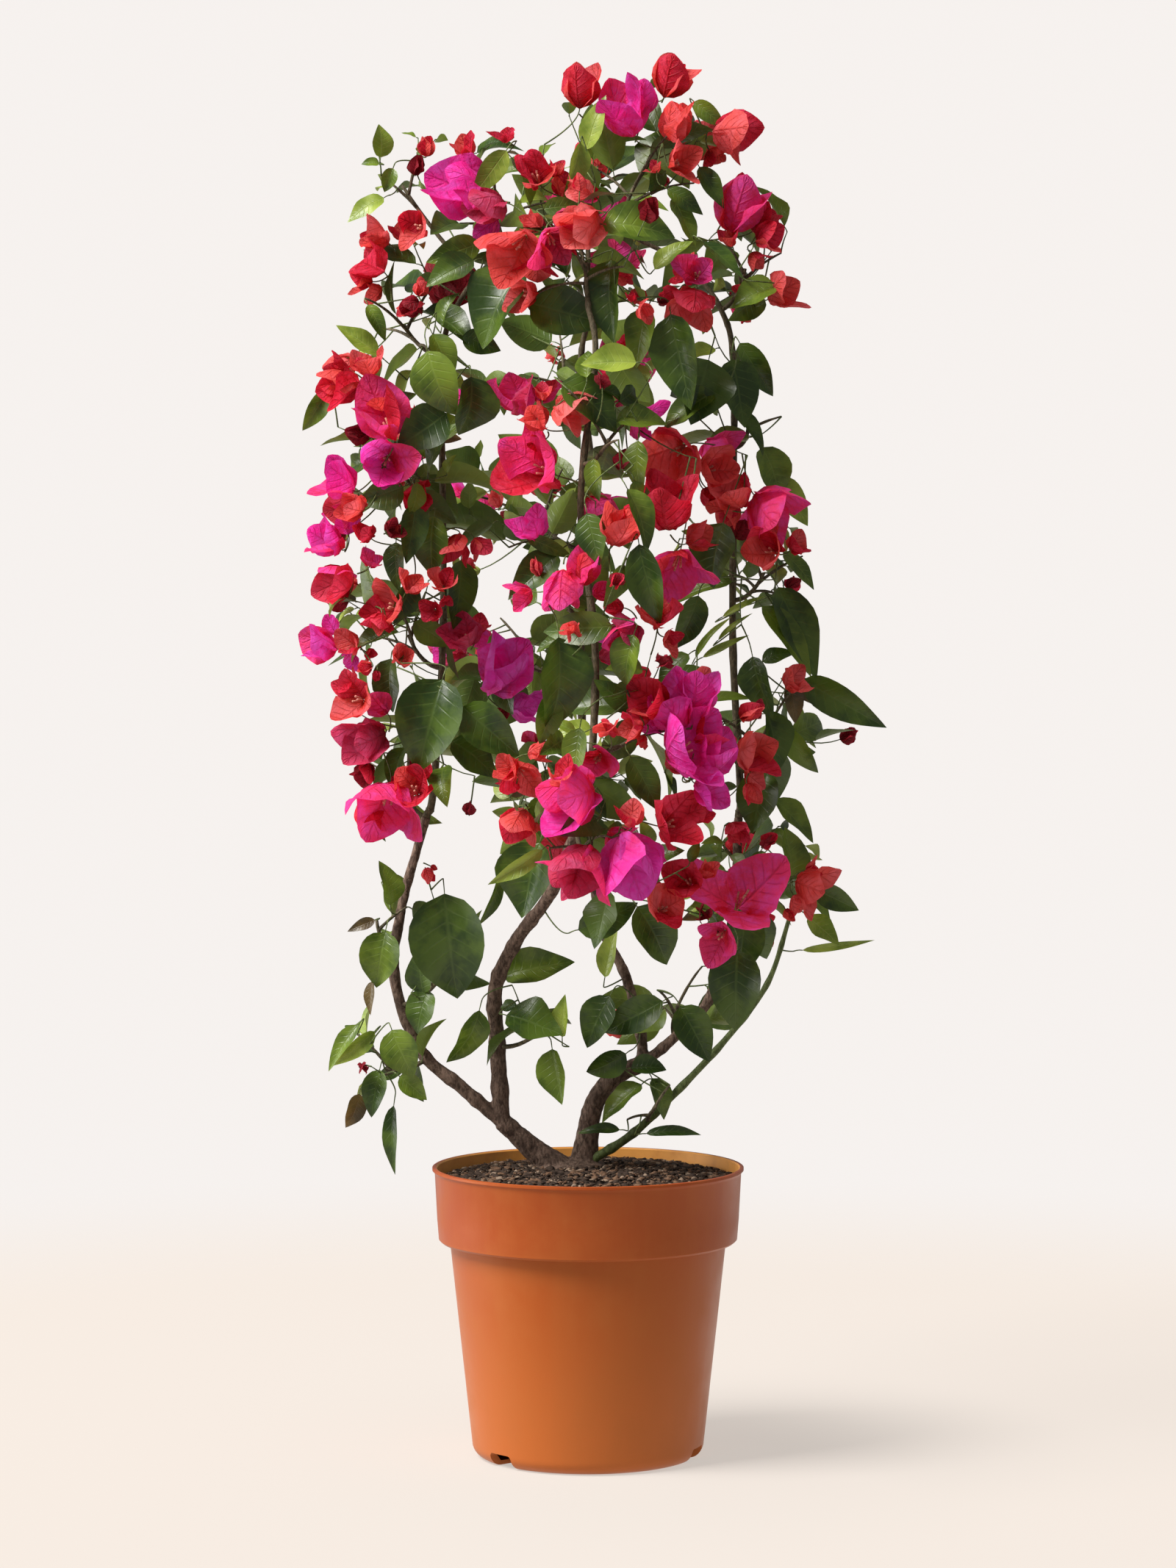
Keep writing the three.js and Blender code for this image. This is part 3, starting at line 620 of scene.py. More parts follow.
def bend_tube(form, curve, radius_at, steps):
    """A tube's corners along a curve, in metres, with its own radius at each share."""
    line = np.array([curve(i / steps) for i in range(steps + 1)])
    ahead = np.gradient(line, axis=0)
    ahead /= np.linalg.norm(ahead, axis=1)[:, None]
    side = np.array(Vector(ahead[0]).orthogonal().normalized())
    sides = []
    for direction in ahead:
        side = side - direction * (side @ direction)
        side /= np.linalg.norm(side)
        sides.append(side)
    sides = np.array(sides)
    others = np.cross(ahead, sides)
    ring = np.rint(form.corners[:, 2] * steps).astype(int)
    radii = np.array([radius_at(i / steps) for i in range(steps + 1)])[ring, None]
    x, y = form.corners[:, 0:1], form.corners[:, 1:2]
    return MM * (line[ring] + radii * (x * sides[ring] + y * others[ring]))


def steady(start, end):
    """A radius that changes evenly from start to end."""
    return lambda share: start + (end - start) * share


def knotted(radii, length, gap, swell, phase):
    """A limb's radius, with a swelling at each of its nodes."""

    def at(share):
        here = share * length / gap + phase
        near = math.exp(-(((here - round(here)) * gap / 4.5) ** 2))
        return (radii[0] + (radii[1] - radii[0]) * share) * (1 + swell * near)

    return at


def length_of(curve):
    """The length of a curve."""
    line = [curve(i / 60) for i in range(61)]
    return sum((b - a).length for a, b in zip(line, line[1:]))


def woody(name, dark, light, roughness, fissure):
    """The finish of bark: long fissures, paler ridges and small pale pores."""
    material, nodes, place, output = new_material(name)
    stretch = nodes.add(
        "ShaderNodeMapping", {"Vector": place.outputs["Object"], "Scale": (1, 1, 0.4)}
    )
    ridges = nodes.noise(stretch.outputs[0], fissure, 6.0, 0.68, 0.6)
    patches = nodes.noise(place.outputs["Object"], 55.0, 4.0)
    pores = nodes.add("ShaderNodeTexVoronoi", {"Vector": place.outputs["Object"], "Scale": 420.0})
    spots = nodes.ramp(pores.outputs["Distance"], 0.12, 0.26, 1.0, 0.0)
    tint = nodes.mix(nodes.ramp(ridges, 0.34, 0.68), dark, light)
    tint = nodes.mix(nodes.ramp(patches, 0.4, 0.75, 0.0, 0.55), tint, dark)
    tint = nodes.mix(nodes.math("MULTIPLY", spots, 0.18), tint, light)
    height = nodes.math("ADD", ridges, nodes.math("MULTIPLY", spots, 0.25))
    skin = nodes.add(
        "ShaderNodeBsdfPrincipled",
        {
            "Base Color": tint,
            "Roughness": nodes.ramp(ridges, 0.3, 0.7, roughness + 0.1, roughness - 0.12),
            "Specular IOR Level": 0.35,
            "Normal": nodes.bump(height, 0.7, 0.0009),
        },
    )
    nodes.tree.links.new(skin.outputs[0], output.inputs["Surface"])
    return material


def leg_radius(curve):
    """A leg's radius: it flares out where it enters the soil."""

    def at(share):
        height = max(0.0, curve(share).z - LEG_FOOT)
        return LEG_RADIUS * (1 - 0.22 * share + FLARE * math.exp(-height / FLARE_HEIGHT))

    return at


def ridged(copy, line, radius, amount):
    """A tube's corners pushed in and out by long ridges that follow its own line."""
    steps = np.array([line(i / 40) for i in range(41)]) * MM
    ring = ((copy[:, None] - steps) ** 2).sum(2).argmin(1)
    out = copy - steps[ring]
    for i, (corner, way) in enumerate(zip(copy, out)):
        here = Vector(way) * (300 / radius) * 0.9 + Vector((0, 0, ring[i] * 0.42))
        push = 1 - 2 * abs(noise.noise(here)) + 0.5 * noise.noise(here * 2.3)
        corner += way / max(np.linalg.norm(way), 1e-6) * amount * push
    return copy


parts = []
bm = bmesh.new()
bmesh.ops.create_icosphere(bm, subdivisions=3, radius=1)
bmesh.ops.scale(bm, vec=Vector(ROOT_CROWN["half"]) * MM, verts=bm.verts)
bmesh.ops.translate(bm, vec=Vector(ROOT_CROWN["centre"]) * MM, verts=bm.verts)
crown = Form(bm)
parts.append((crown, [crown.corners]))
for route in (LEFT_LEG, RIGHT_LEG):
    leg = curve_through(route)
    form = tube_form(26, LEG_STEPS)
    copy = bend_tube(form, leg, leg_radius(leg), LEG_STEPS)
    parts.append((form, [ridged(copy, leg, LEG_RADIUS, BARK_RELIEF)]))
limbs = {}
for name, (route, radii) in {**BOUGHS, "green_shoot": GREEN_SHOOT}.items():
    limbs[name] = (curve_through(route), radii)
for i, name in enumerate(BOUGHS):
    curve, radii = limbs[name]
    form = tube_form(22, LIMB_STEPS)
    at = knotted((radii[0] * 1.04, radii[1]), length_of(curve), 31, 0.17, 0.3 * i)
    copy = bend_tube(form, curve, at, LIMB_STEPS)
    parts.append((form, [ridged(copy, curve, radii[0], BARK_RELIEF * 0.7)]))
wood = join_copies("trunk_and_boughs", parts)
skin = wood.modifiers.new("one_skin", "REMESH")
skin.mode, skin.voxel_size = "VOXEL", BARK_VOXEL
settle(wood)
bm = bmesh.new()
bm.from_mesh(wood.data)
bmesh.ops.smooth_vert(
    bm, verts=bm.verts, factor=0.5, use_axis_x=True, use_axis_y=True, use_axis_z=True
)
for v in bm.verts:
    unevenness = noise.noise(v.co * 120) + 0.5 * noise.noise(v.co * 380)
    v.co += v.normal * BARK_RELIEF * 0.6 * unevenness
bm.to_mesh(wood.data)
bm.free()
wood.data.polygons.foreach_set("use_smooth", [True] * len(wood.data.polygons))
add_piece(wood, "bark", ["trunk", *BOUGHS], woody("bark", BARK_DARK, BARK_LIGHT, 0.82, 420.0))


# ---- Climbers and the green shoot ----
# Long flexible shoots: from each bough's end one rises on its side of the plant and arches in
# over the top. Their bark is still thin and greenish brown, and this year's shoot by the pot
# is fresh green.

COLUMN_RADIUS = 102
SPRING_HEIGHT = 770
CREST_HEIGHT = 863
CREST_OPENING = 34
CLIMBER_SWAY = 5
CLIMBER_RADII = (2.9, 1.5)
STRAIGHT_START = 20
RISES = 3
ARCH_STEPS = 3
SHOOT_STEPS = 70
THIN_BARK = ((0.050, 0.042, 0.022, 1), (0.165, 0.130, 0.075, 1))
GREEN_BARK = ((0.060, 0.085, 0.022, 1), (0.170, 0.225, 0.070, 1))
COLUMNS = {  # the side that each is on, in degrees, and the bough that it goes on from
    "left": (180, "left_leader"),
    "right": (0, "right_leader"),
    "front": (-90, "centre_leader"),
    "back": (90, "back_leader"),
}


def side_of(turn):
    """The directions out of a column and along its side."""
    angle = math.radians(turn)
    outward = Vector((math.cos(angle), math.sin(angle), 0))
    return outward, Vector((-outward.y, outward.x, 0))


def climber_route(turn, carrier):
    """Straight on from its bough, up its side with a slight sway, and in over the top."""
    outward, along = side_of(turn)
    curve, _ = limbs[carrier]
    foot = curve(1)
    points = [foot, foot + tangent(curve, 1) * STRAIGHT_START]
    for i in range(1, RISES + 1):
        height = points[1].z + (SPRING_HEIGHT - points[1].z) * i / RISES
        sway = CLIMBER_SWAY if i % 2 else -CLIMBER_SWAY
        points.append(outward * COLUMN_RADIUS + along * sway + UP * height)
    last = math.acos(CREST_OPENING / COLUMN_RADIUS)
    for i in range(1, ARCH_STEPS + 1):
        bend = last * i / ARCH_STEPS
        rise = (CREST_HEIGHT - SPRING_HEIGHT) * math.sin(bend)
        points.append(outward * COLUMN_RADIUS * math.cos(bend) + UP * (SPRING_HEIGHT + rise))
    return points


parts = []
form = tube_form(10, LIMB_STEPS)
for i, (side, (turn, carrier)) in enumerate(COLUMNS.items()):
    curve = curve_through(climber_route(turn, carrier))
    limbs[f"{side}_climber"] = (curve, CLIMBER_RADII)
    at = knotted(CLIMBER_RADII, length_of(curve), 34, 0.2, 0.37 * i)
    parts.append((form, [bend_tube(form, curve, at, LIMB_STEPS)]))
climbers = join_copies("climbers", parts)
thin_bark = woody("thin_bark", *THIN_BARK, 0.75, 600.0)
add_piece(climbers, "bark", [f"{side}_climber" for side in COLUMNS], thin_bark)

curve, radii = limbs["green_shoot"]
form = tube_form(10, SHOOT_STEPS)
at = knotted(radii, length_of(curve), 27, 0.22, 0.1)
green_shoot = join_copies(
    "green_shoot_skin", [(form, [bend_tube(form, curve, at, SHOOT_STEPS)])]
)
green_bark = woody("green_bark", *GREEN_BARK, 0.6, 500.0)
add_piece(green_shoot, "green_bark", ["green_shoot"], green_bark)


# ---- Twigs ----
# Each mass of foliage grows from one stem on its limb. Its twigs arch out through the
# mass's own space by a seeded rule, and each of them carries finer twigs.

GOLDEN_ANGLE = math.radians(137.5)
TIERS = {  # height, stand from the climber, sway along the side, blooms
    "left": [(478, 27, 0, 2), (583, 27, 0, 2), (692, 29, 5, 2), (800, 30, 0, 2)],
    "right": [(402, 20, -10, 2), (512, 21, 0, 1), (626, 24, 0, 2), (740, 12, -5, 1)],
    "front": [(434, 26, -2, 2), (522, 22, 42, 2), (606, 20, -18, 1), (716, 20, 16, 2)],
    "back": [(456, 22, 24, 2), (560, 22, 46, 2), (664, 22, 42, 2), (770, 18, 20, 2)],
}
TIER_HALF = {"radial": 82, "along": 84, "height": 82}
OTHERS = [  # name, limb, centre, half the size, blooms, size of its leaves, twigs
    ("crown_left", "left_climber", (-66, 0, 886), (84, 74, 70), 3, 1, 4),
    ("crown_right", "right_climber", (44, 0, 916), (84, 78, 78), 3, 1, 4),
    ("crown_front", "front_climber", (-2, -92, 834), (84, 72, 70), 2, 1, 4),
    ("crown_back", "back_climber", (-6, 90, 862), (84, 74, 72), 2, 1, 4),
    ("crown_edge", "right_climber", (112, 2, 840), (72, 74, 70), 2, 1, 4),
    ("crown_sprig", "left_climber", (-136, 4, 902), (54, 44, 52), 0, 0.6, 4),
    ("left_sprig", "left_leader", (-150, -6, 382), (60, 60, 64), 0, 0.8, 4),
    ("left_spray", "left_leader", (-146, -14, 274), (68, 60, 80), 0, 0.8, 3),
    ("left_inner", "left_leader", (-94, -40, 352), (64, 64, 66), 0, 1, 4),
    ("centre_low", "centre_leader", (-30, -34, 306), (72, 74, 66), 0, 1, 4),
    ("right_low", "right_leader", (64, 34, 318), (72, 72, 68), 0, 1, 4),
    ("base_sprig", "green_shoot", (48, -30, 252), (60, 56, 48), 0, 0.7, 3),
]
STEM_DROP = 22
STEM_END = 0.9
STEM_RADII = (1.9, 1.2)
STEM_ROOM = (2.6, 2.0)  # the radii that other twigs and blades keep clear of
STEM_SHARES = [i / 60 for i in range(61) if i == 0 or i >= 4]  # of its limb, where it may start
SPACE_GAP = 0.5
OUTWARD_TILT = 1.1
LOWEST_AIM = -0.75
TWIG_SPREAD = 0.56
TWIG_ARCH = 0.16
TWIG_RADII = (1.15, 0.6)
TWIG_LIMB_GAP = 3.5
POT_CLEARANCE = 5
SKEW = Vector((0.21, 0.13, 0.97)).normalized()
LOW_UNDER = 400  # a mass whose middle is under this is one of the small ones by the pot
FINE_TWIGS = 5
LOW_FINE_TWIGS = 1
INWARD_FROM = 4  # the finer twigs from this one on turn in, to where the columns leave a gap
INWARD_LEAN = -0.9
OUTWARD_LEAN = 0.45
FINE_TRIES = 5
FINE_RADII = (0.65, 0.38)
FINE_LENGTHS = (26, 58)


class Mass:
    """One mass of foliage: its limb, its space, its seed and the twigs that it has grown."""

    def __init__(self, name, limb, centre, half, blooms, leaf, twigs):
        self.name, self.limb, self.blooms, self.leaf = name, limb, blooms, leaf
        self.centre, self.half, self.twig_count = Vector(centre), Vector(half), twigs
        self.side = name.split("_")[0]
        self.fine_count = LOW_FINE_TWIGS if self.centre.z < LOW_UNDER else FINE_TWIGS


masses = []
for side, tiers in TIERS.items():
    turn, carrier = COLUMNS[side]
    outward, along = side_of(turn)
    half = [
        abs(outward[i]) * TIER_HALF["radial"] + abs(along[i]) * TIER_HALF["along"]
        for i in range(2)
    ]
    half.append(TIER_HALF["height"])
    for i, (height, stand, sway, blooms) in enumerate(tiers):
        centre = outward * (COLUMN_RADIUS + stand) + along * sway + UP * height
        low = height - STEM_DROP < BOUGHS[carrier][0][-1][2]
        limb = carrier if low else f"{side}_climber"
        masses.append(Mass(f"{side}_mass_{i + 1}", limb, centre, half, blooms, 1, 4))
masses += [Mass(*row) for row in OTHERS]
for i, mass in enumerate(masses):
    mass.seed = 1009 + 97 * i


def outward_at(place):
    """Away from the plant's core: level below the dome's spring, tilting up over it."""
    return Vector((place.x, place.y, OUTWARD_TILT * max(0, place.z - SPRING_HEIGHT))).normalized()


def stem_of(mass):
    """A mass's stem leaves its limb square to it, or straight on from its tip."""
    curve, _ = limbs[mass.limb]
    goal = mass.centre - UP * STEM_DROP
    share = min(STEM_SHARES, key=lambda s: (curve(s) - goal).length)
    foot, ahead = curve(share), tangent(curve, share)
    away = mass.centre - foot
    direction = ahead if share == 1 else (away - ahead * away.dot(ahead)).normalized()
    end = foot.lerp(mass.centre, STEM_END)
    return arch(foot, foot + direction * (end - foot).length * 0.45, end)


for mass in masses:
    mass.stem = stem_of(mass)
    others = [m for m in masses if m is not mass]
    away = np.array([m.centre - mass.centre for m in others])
    gaps = np.linalg.norm(away, axis=1)
    shares = np.array([mass.half.length / (mass.half.length + m.half.length) for m in others])
    mass.walls, mass.limits = away / gaps[:, None], gaps * shares - SPACE_GAP

CHAIN_STEPS = 26
chains = [(name, curve, radii) for name, (curve, radii) in limbs.items()]
chains += [(mass.name, mass.stem, STEM_ROOM) for mass in masses]
lines = [
    [np.array(curve(i / CHAIN_STEPS)) for i in range(CHAIN_STEPS + 1)] for _, curve, _ in chains
]
chain_from = np.array([p for line in lines for p in line[:-1]])
chain_run = np.array([b - a for line in lines for a, b in zip(line, line[1:])])
chain_radius = np.array(
    [
        foot + (end - foot) * i / CHAIN_STEPS
        for _, _, (foot, end) in chains
        for i in range(1, CHAIN_STEPS + 1)
    ]
)
chain_name = np.repeat([name for name, *_ in chains], CHAIN_STEPS)


def room_to_limbs(points, skip):
    """How far the nearest limb or stem is from each point, apart from those in skip."""
    points = np.array(points)[:, None, :]
    counted = ~np.isin(chain_name, skip)
    start, run = chain_from[counted], chain_run[counted]
    along = ((points - start) * run).sum(2) / (run * run).sum(1)
    near = start + np.clip(along, 0, 1)[..., None] * run
    return (np.linalg.norm(points - near, axis=2) - chain_radius[counted]).min(axis=1)


def is_in_space(mass, points, margin=0.0):
    """Whether points lie in the mass's ellipsoid and nearer to it than to another mass."""
    offsets = np.array(points) - np.array(mass.centre)
    if (np.linalg.norm(offsets / np.array(mass.half), axis=1) > 1).any():
        return False
    return bool((offsets @ mass.walls.T < mass.limits - margin).all())


def is_clear_of_pot(points):
    """Whether points lie over the pot's rim, or beside the pot and over the floor."""
    points = np.array(points)
    outside = np.hypot(points[:, 0], points[:, 1]) > 1000 * RIM_RADIUS + POT_CLEARANCE
    floor = np.where(outside, POT_CLEARANCE, 1000 * POT_HEIGHT + POT_CLEARANCE)
    return bool((points[:, 2] > floor).all())


class Twig:
    """A twig's line, and how far along it anything grows, which is as far as it is drawn."""

    def __init__(self, line, parent=None, share=0.0):
        self.line, self.parent, self.share, self.reach = line, parent, share, 0.0

    def carry(self, share):
        self.reach = max(self.reach, share)
        if self.parent:
            self.parent.carry(self.share)

    def drawn(self, share):
        return self.line(share * self.reach)


def twig_of(mass, index, random):
    """A twig leaves the stem and arches up and out to a place of its own in the mass."""
    share = (index + 0.5) / mass.twig_count
    turn = mass.seed + index * GOLDEN_ANGLE + 0.7 * (random() - 0.5)
    rise = math.asin(LOWEST_AIM + (0.95 - LOWEST_AIM) * share)
    spread = TWIG_SPREAD * (0.85 + 0.35 * random())
    level = math.cos(rise)
    aim = Vector((level * math.cos(turn), level * math.sin(turn), math.sin(rise)))
    aim = Vector(a * h for a, h in zip(aim, mass.half)) * spread + mass.centre
    start = mass.stem(0.5 + 0.47 * share)
    return arch(start, start.lerp(aim, 0.5) + UP * TWIG_ARCH * (start - aim).length, aim)


def fine_twig_of(mass, twig, index, random):
    """A finer twig leaves its twig sideways and turns up and out, or in to a gap."""
    inward = index >= INWARD_FROM
    share = 0.3 + 0.6 * random() if inward else 0.28 + 0.18 * index + 0.12 * random()
    start, ahead = twig.line(share), tangent(twig.line, share)
    length = mass.leaf * (FINE_LENGTHS[0] + (FINE_LENGTHS[1] - FINE_LENGTHS[0]) * random())
    lift = 0.55 * random() - 0.2
    lean = outward_at(start) * (INWARD_LEAN if inward else OUTWARD_LEAN)
    onward = ahead * (0.1 if inward else 0.4)
    phase, square = 2 * math.pi * random(), ahead.orthogonal().normalized()
    for i in range(FINE_TRIES):
        across = Quaternion(ahead, index * GOLDEN_ANGLE + phase + i * 1.3) @ square
        direction = (across * 0.75 + onward + lean + UP * lift).normalized()
        end = start + direction * length
        bend = start.lerp(end, 0.5) + (across * 0.16 - UP * 0.08) * length
        grown = arch(start, bend, end)
        points = [grown(s) for s in (0.4, 0.7, 1)]
        if is_in_space(mass, points) and is_clear_of_pot(points) and is_in_habit(points[1:], 0):
            if room_to_limbs(points, [mass.name]).min() > TWIG_LIMB_GAP:
                return Twig(grown, twig, share)
    return None


HABIT = {  # at each height, how far the foliage reaches to the left and to the right
    990: (41, 71), 965: (-16, 75), 940: (-145, 114), 915: (-154, 116), 890: (-163, 133),
    865: (-167, 142), 840: (-163, 128), 815: (-160, 145), 790: (-167, 117), 765: (-185, 129),
    740: (-194, 134), 715: (-194, 134), 690: (-183, 149), 665: (-190, 150), 640: (-192, 152),
    615: (-194, 156), 590: (-192, 160), 565: (-201, 160), 540: (-176, 195), 515: (-166, 199),
    490: (-166, 161), 465: (-164, 151), 440: (-158, 163), 415: (-148, 176), 390: (-156, 183),
    365: (-164, 181), 340: (-159, 141), 315: (-173, 120), 290: (-183, 102), 265: (-181, 100),
    240: (-167, 100),
}
WINDOWS = [  # open places through the crown: x, z, half the width, half the height
    (-62, 779, 26, 13), (-56, 585, 16, 16), (-60, 635, 13, 12), (-76, 605, 12, 14),
    (-77, 430, 16, 24), (-56, 389, 14, 12), (-29, 374, 12, 12), (-26, 334, 12, 14),
    (-38, 251, 22, 22), (-45, 277, 14, 14), (62, 344, 22, 22), (75, 252, 20, 20),
    (25, 241, 14, 14), (58, 275, 14, 12), (-121, 221, 22, 22), (-81, 231, 14, 16),
    (-77, 266, 12, 12), (122, 581, 13, 16), (67, 591, 12, 12), (-135, 875, 14, 14),
    (-101, 910, 12, 12), (72, 895, 12, 12), (96, 905, 12, 12), (83, 882, 12, 12),
    (-132, 914, 12, 12), (-92, 948, 42, 16), (-140, 788, 14, 12), (149, 369, 12, 12),
    (-156, 635, 9, 12), (-76, 470, 10, 10), (118, 740, 10, 30), (-38, 952, 16, 10),
    (146, 478, 9, 12),
]


def is_in_habit(points, margin=4):
    """Whether points, seen from the front, lie in the outline and out of the windows."""
    points = np.array(points)
    near = 1000 * EYE_DISTANCE / (1000 * EYE_DISTANCE + points[:, 1])
    eye = 1000 * EYE_HEIGHT
    x, z = points[:, 0] * near, eye + (points[:, 2] - eye) * near
    heights = sorted(HABIT)
    left, right = (np.interp(z, heights, [HABIT[h][side] for h in heights]) for side in (0, 1))
    if ((x < left + margin) | (x > right - margin) | (z > heights[-1])).any():
        return False
    at_x, at_z, wide, high = np.array(WINDOWS).T
    across = (x[:, None] - at_x) / (wide + margin)
    upward = (z[:, None] - at_z) / (high + margin)
    return bool((across**2 + upward**2 > 1).all())


BLADE_RANDOMS = {"leaf": 4, "bloom": 3}
for mass in masses:
    random, extra = seeded_random(mass.seed), seeded_random(mass.seed * 7 + 5)
    mass.twigs, mass.fine = [], []
    for i in range(mass.twig_count):
        twig = Twig(twig_of(mass, i, random))
        leaf_draws = [[random() for _ in range(BLADE_RANDOMS["leaf"])] for _ in range(4)]
        bloom_draws = [random() for _ in range(BLADE_RANDOMS["bloom"])]
        points = [twig.line(s / 6) for s in range(7)]
        clear = room_to_limbs(points[:2], [mass.name, mass.limb]).min() > TWIG_LIMB_GAP
        clear = clear and room_to_limbs(points[2:], [mass.name]).min() > TWIG_LIMB_GAP
        if not (clear and is_in_space(mass, points, 1.3) and is_clear_of_pot(points)):
            continue
        blooms = (i * mass.blooms) % mass.twig_count < mass.blooms
        mass.twigs.append((twig, leaf_draws, bloom_draws, blooms))
        for k in range(mass.fine_count):
            fine = fine_twig_of(mass, twig, k, extra)
            if fine:
                mass.fine.append(fine)

every_mass = [m.name for m in masses]


# ---- Blades ----
# Leaves and bracts are thin blades: a leaf is pointed and lightly folded on its rib, and a
# bract is a broad papery one, cupped, with a crinkled edge.

BLADE_LIMB_GAP = 3
BLADE_GAP = 0.24  # between the middles of two blades, of their two lengths
FRONT_GAP = 0.4  # the same, seen from the front, to a blade that was placed
FRONT_DEPTH = 4  # and how far behind that one a blade may hide


def blade_form(across, along, outline, ends):
    """A flat blade from (0, 0) to (0, 1), 2 across, with more of its steps near rounder ends."""

    def spaced(y):
        step = y / 2 + 0.5
        return step + ends * (0.5 - 0.5 * math.cos(math.pi * step) - step)

    bm = bmesh.new()
    bmesh.ops.create_grid(bm, x_segments=across, y_segments=along, size=1)
    layer = bm.loops.layers.uv.verify()
    for face in bm.faces:
        for loop in face.loops:
            x, y, _ = loop.vert.co
            loop[layer].uv = (x / 2 + 0.5, spaced(y))
    for v in bm.verts:
        share = spaced(v.co.y)
        v.co = (v.co.x * outline(share), share, 0)
    bmesh.ops.remove_doubles(bm, verts=bm.verts, dist=1e-5)
    return Form(bm)


def leaf_outline(share):
    """Half a leaf's width at a share of its length: widest below its middle, and pointed."""
    swell = max(0, math.sin(math.pi * share**0.72)) ** 0.86
    return swell * (1 - 0.22 * share**3) + 0.03 * (1 - share)


def bract_outline(share):
    """Half a bract's width at a share of its length: broad and round, with a short tip."""
    swell = max(0, math.sin(math.pi * share**0.8)) ** 0.6
    return swell * (1 - 0.1 * share**3) + 0.04 * (1 - share)


leaf_form = blade_form(4, 11, leaf_outline, 0.3)
bract_form = blade_form(6, 9, bract_outline, 0.85)


def blade_copies(form, rows, roundness):
    """Each row is a blade: place, direction, facing, length, width, fold, curl, wave, phase."""
    x, share = form.corners[:, 0], form.corners[:, 1]
    straight = 1e-3  # a curl smaller than this counts as this
    copies = []
    for place, direction, facing, length, width, fold, curl, wave, phase in rows:
        half = 0.5 * width * length
        lift = fold * half * np.abs(x) ** roundness
        ripple = np.sin(2 * math.pi * (1.6 * share + phase) + 2.2 * (x > 0))
        lift += wave * half * np.abs(x) ** 1.5 * ripple
        sway = np.sin(2 * math.pi * (0.9 * share + 2.3 * phase))
        lift += wave * 0.5 * half * sway * share
        turn = curl * share
        safe = curl if abs(curl) > straight else straight
        along = np.sin(safe * share) / safe * length
        drop = (1 - np.cos(safe * share)) / safe * length
        flat = np.stack(
            [x * half, along + lift * np.sin(turn), lift * np.cos(turn) - drop], axis=1
        )
        frame_turn = np.array(turned(direction, facing))
        copies.append(MM * (flat @ frame_turn.T + np.array(place)))
    return copies


def veins(name, pairs, slant):
    """A shader group: where a blade's rib and side veins run, from its own map."""
    group = bpy.data.node_groups.new(name, "ShaderNodeTree")
    group.interface.new_socket("Width", in_out="INPUT", socket_type="NodeSocketFloat")
    group.interface.new_socket("Veins", in_out="OUTPUT", socket_type="NodeSocketFloat")
    nodes = Nodes(group)
    inputs = nodes.add("NodeGroupInput")
    outputs = nodes.add("NodeGroupOutput")
    place = nodes.add("ShaderNodeTexCoord")
    flat = nodes.add("ShaderNodeSeparateXYZ", {0: place.outputs["UV"]})
    side = nodes.math("ABSOLUTE", nodes.math("SUBTRACT", flat.outputs[0], 0.5))
    side = nodes.math("MULTIPLY", side, 2.0)
    rib = nodes.ramp(side, 0.0, 0.09, 1.0, 0.0)
    slope = nodes.math("SUBTRACT", flat.outputs[1], nodes.math("MULTIPLY", side, slant))
    step = nodes.math("PINGPONG", nodes.math("MULTIPLY", slope, pairs), 0.5)
    line = nodes.ramp(step, 0.0, inputs.outputs["Width"], 1.0, 0.0)
    fading = nodes.ramp(side, 0.3, 1.0, 0.75, 0.1)
    both = nodes.math("MAXIMUM", rib, nodes.math("MULTIPLY", line, fading))
    nodes.tree.links.new(both, outputs.inputs["Veins"])
    return group


dice = seeded_random(4421)
taken = []  # each blade's middle and length, and whether it is one of the listed ones


def is_free(mass, place, direction, length):
    """Whether a blade has room: in its mass's space, clear of limbs, pot and other blades."""
    points = [place + direction * length * s for s in (0.35, 0.7, 1)]
    if not (is_in_space(mass, points) and is_clear_of_pot(points) and is_in_habit(points)):
        return False
    if room_to_limbs(points, [mass.name]).min() < BLADE_LIMB_GAP:
        return False
    middle = np.array(place + direction * length * 0.5)
    centres = np.array([t[0] for t in taken])
    reach = np.array([t[1] for t in taken]) + length
    if (np.linalg.norm(centres - middle, axis=1) < BLADE_GAP * reach).any():
        return False
    placed = np.array([t[2] for t in taken])
    near = np.hypot(centres[:, 0] - middle[0], centres[:, 2] - middle[2]) < FRONT_GAP * reach
    return not (placed & near & (middle[1] < centres[:, 1] + FRONT_DEPTH)).any()


def take(place, direction, length, placed=False):
    """Keeps a blade's room for it."""
    taken.append((np.array(place + direction * length * 0.5), length, placed))


WOOD_SHARES = [s / 20 for s in range(6, 21)]
bearers = [Twig(curve) for curve, _ in limbs.values()] + [Twig(m.stem) for m in masses]
bearers += [row[0] for m in masses for row in m.twigs] + [fine for m in masses for fine in m.fine]
wood_points = np.array([twig.line(share) for twig in bearers for share in WOOD_SHARES])


def shoot_to(place, direction):
    """A shoot from the nearest wood to a place, which arrives there in a direction."""
    nearest = int(np.linalg.norm(wood_points - np.array(place), axis=1).argmin())
    start = Vector(wood_points[nearest])
    bearers[nearest // len(WOOD_SHARES)].carry(WOOD_SHARES[nearest % len(WOOD_SHARES)])
    run = place - start
    pull = 0.2 + 0.15 * direction.dot(run.normalized())  # less where it would have to turn back
    return arch(start, place - direction * pull * run.length, place)


# ---- Blossom ----
# Three papery bracts round three slender flower tubes, on a thin stalk at a twig's tip. Their
# colour runs from coral and crimson to magenta as they age, and is deeper at the heart.

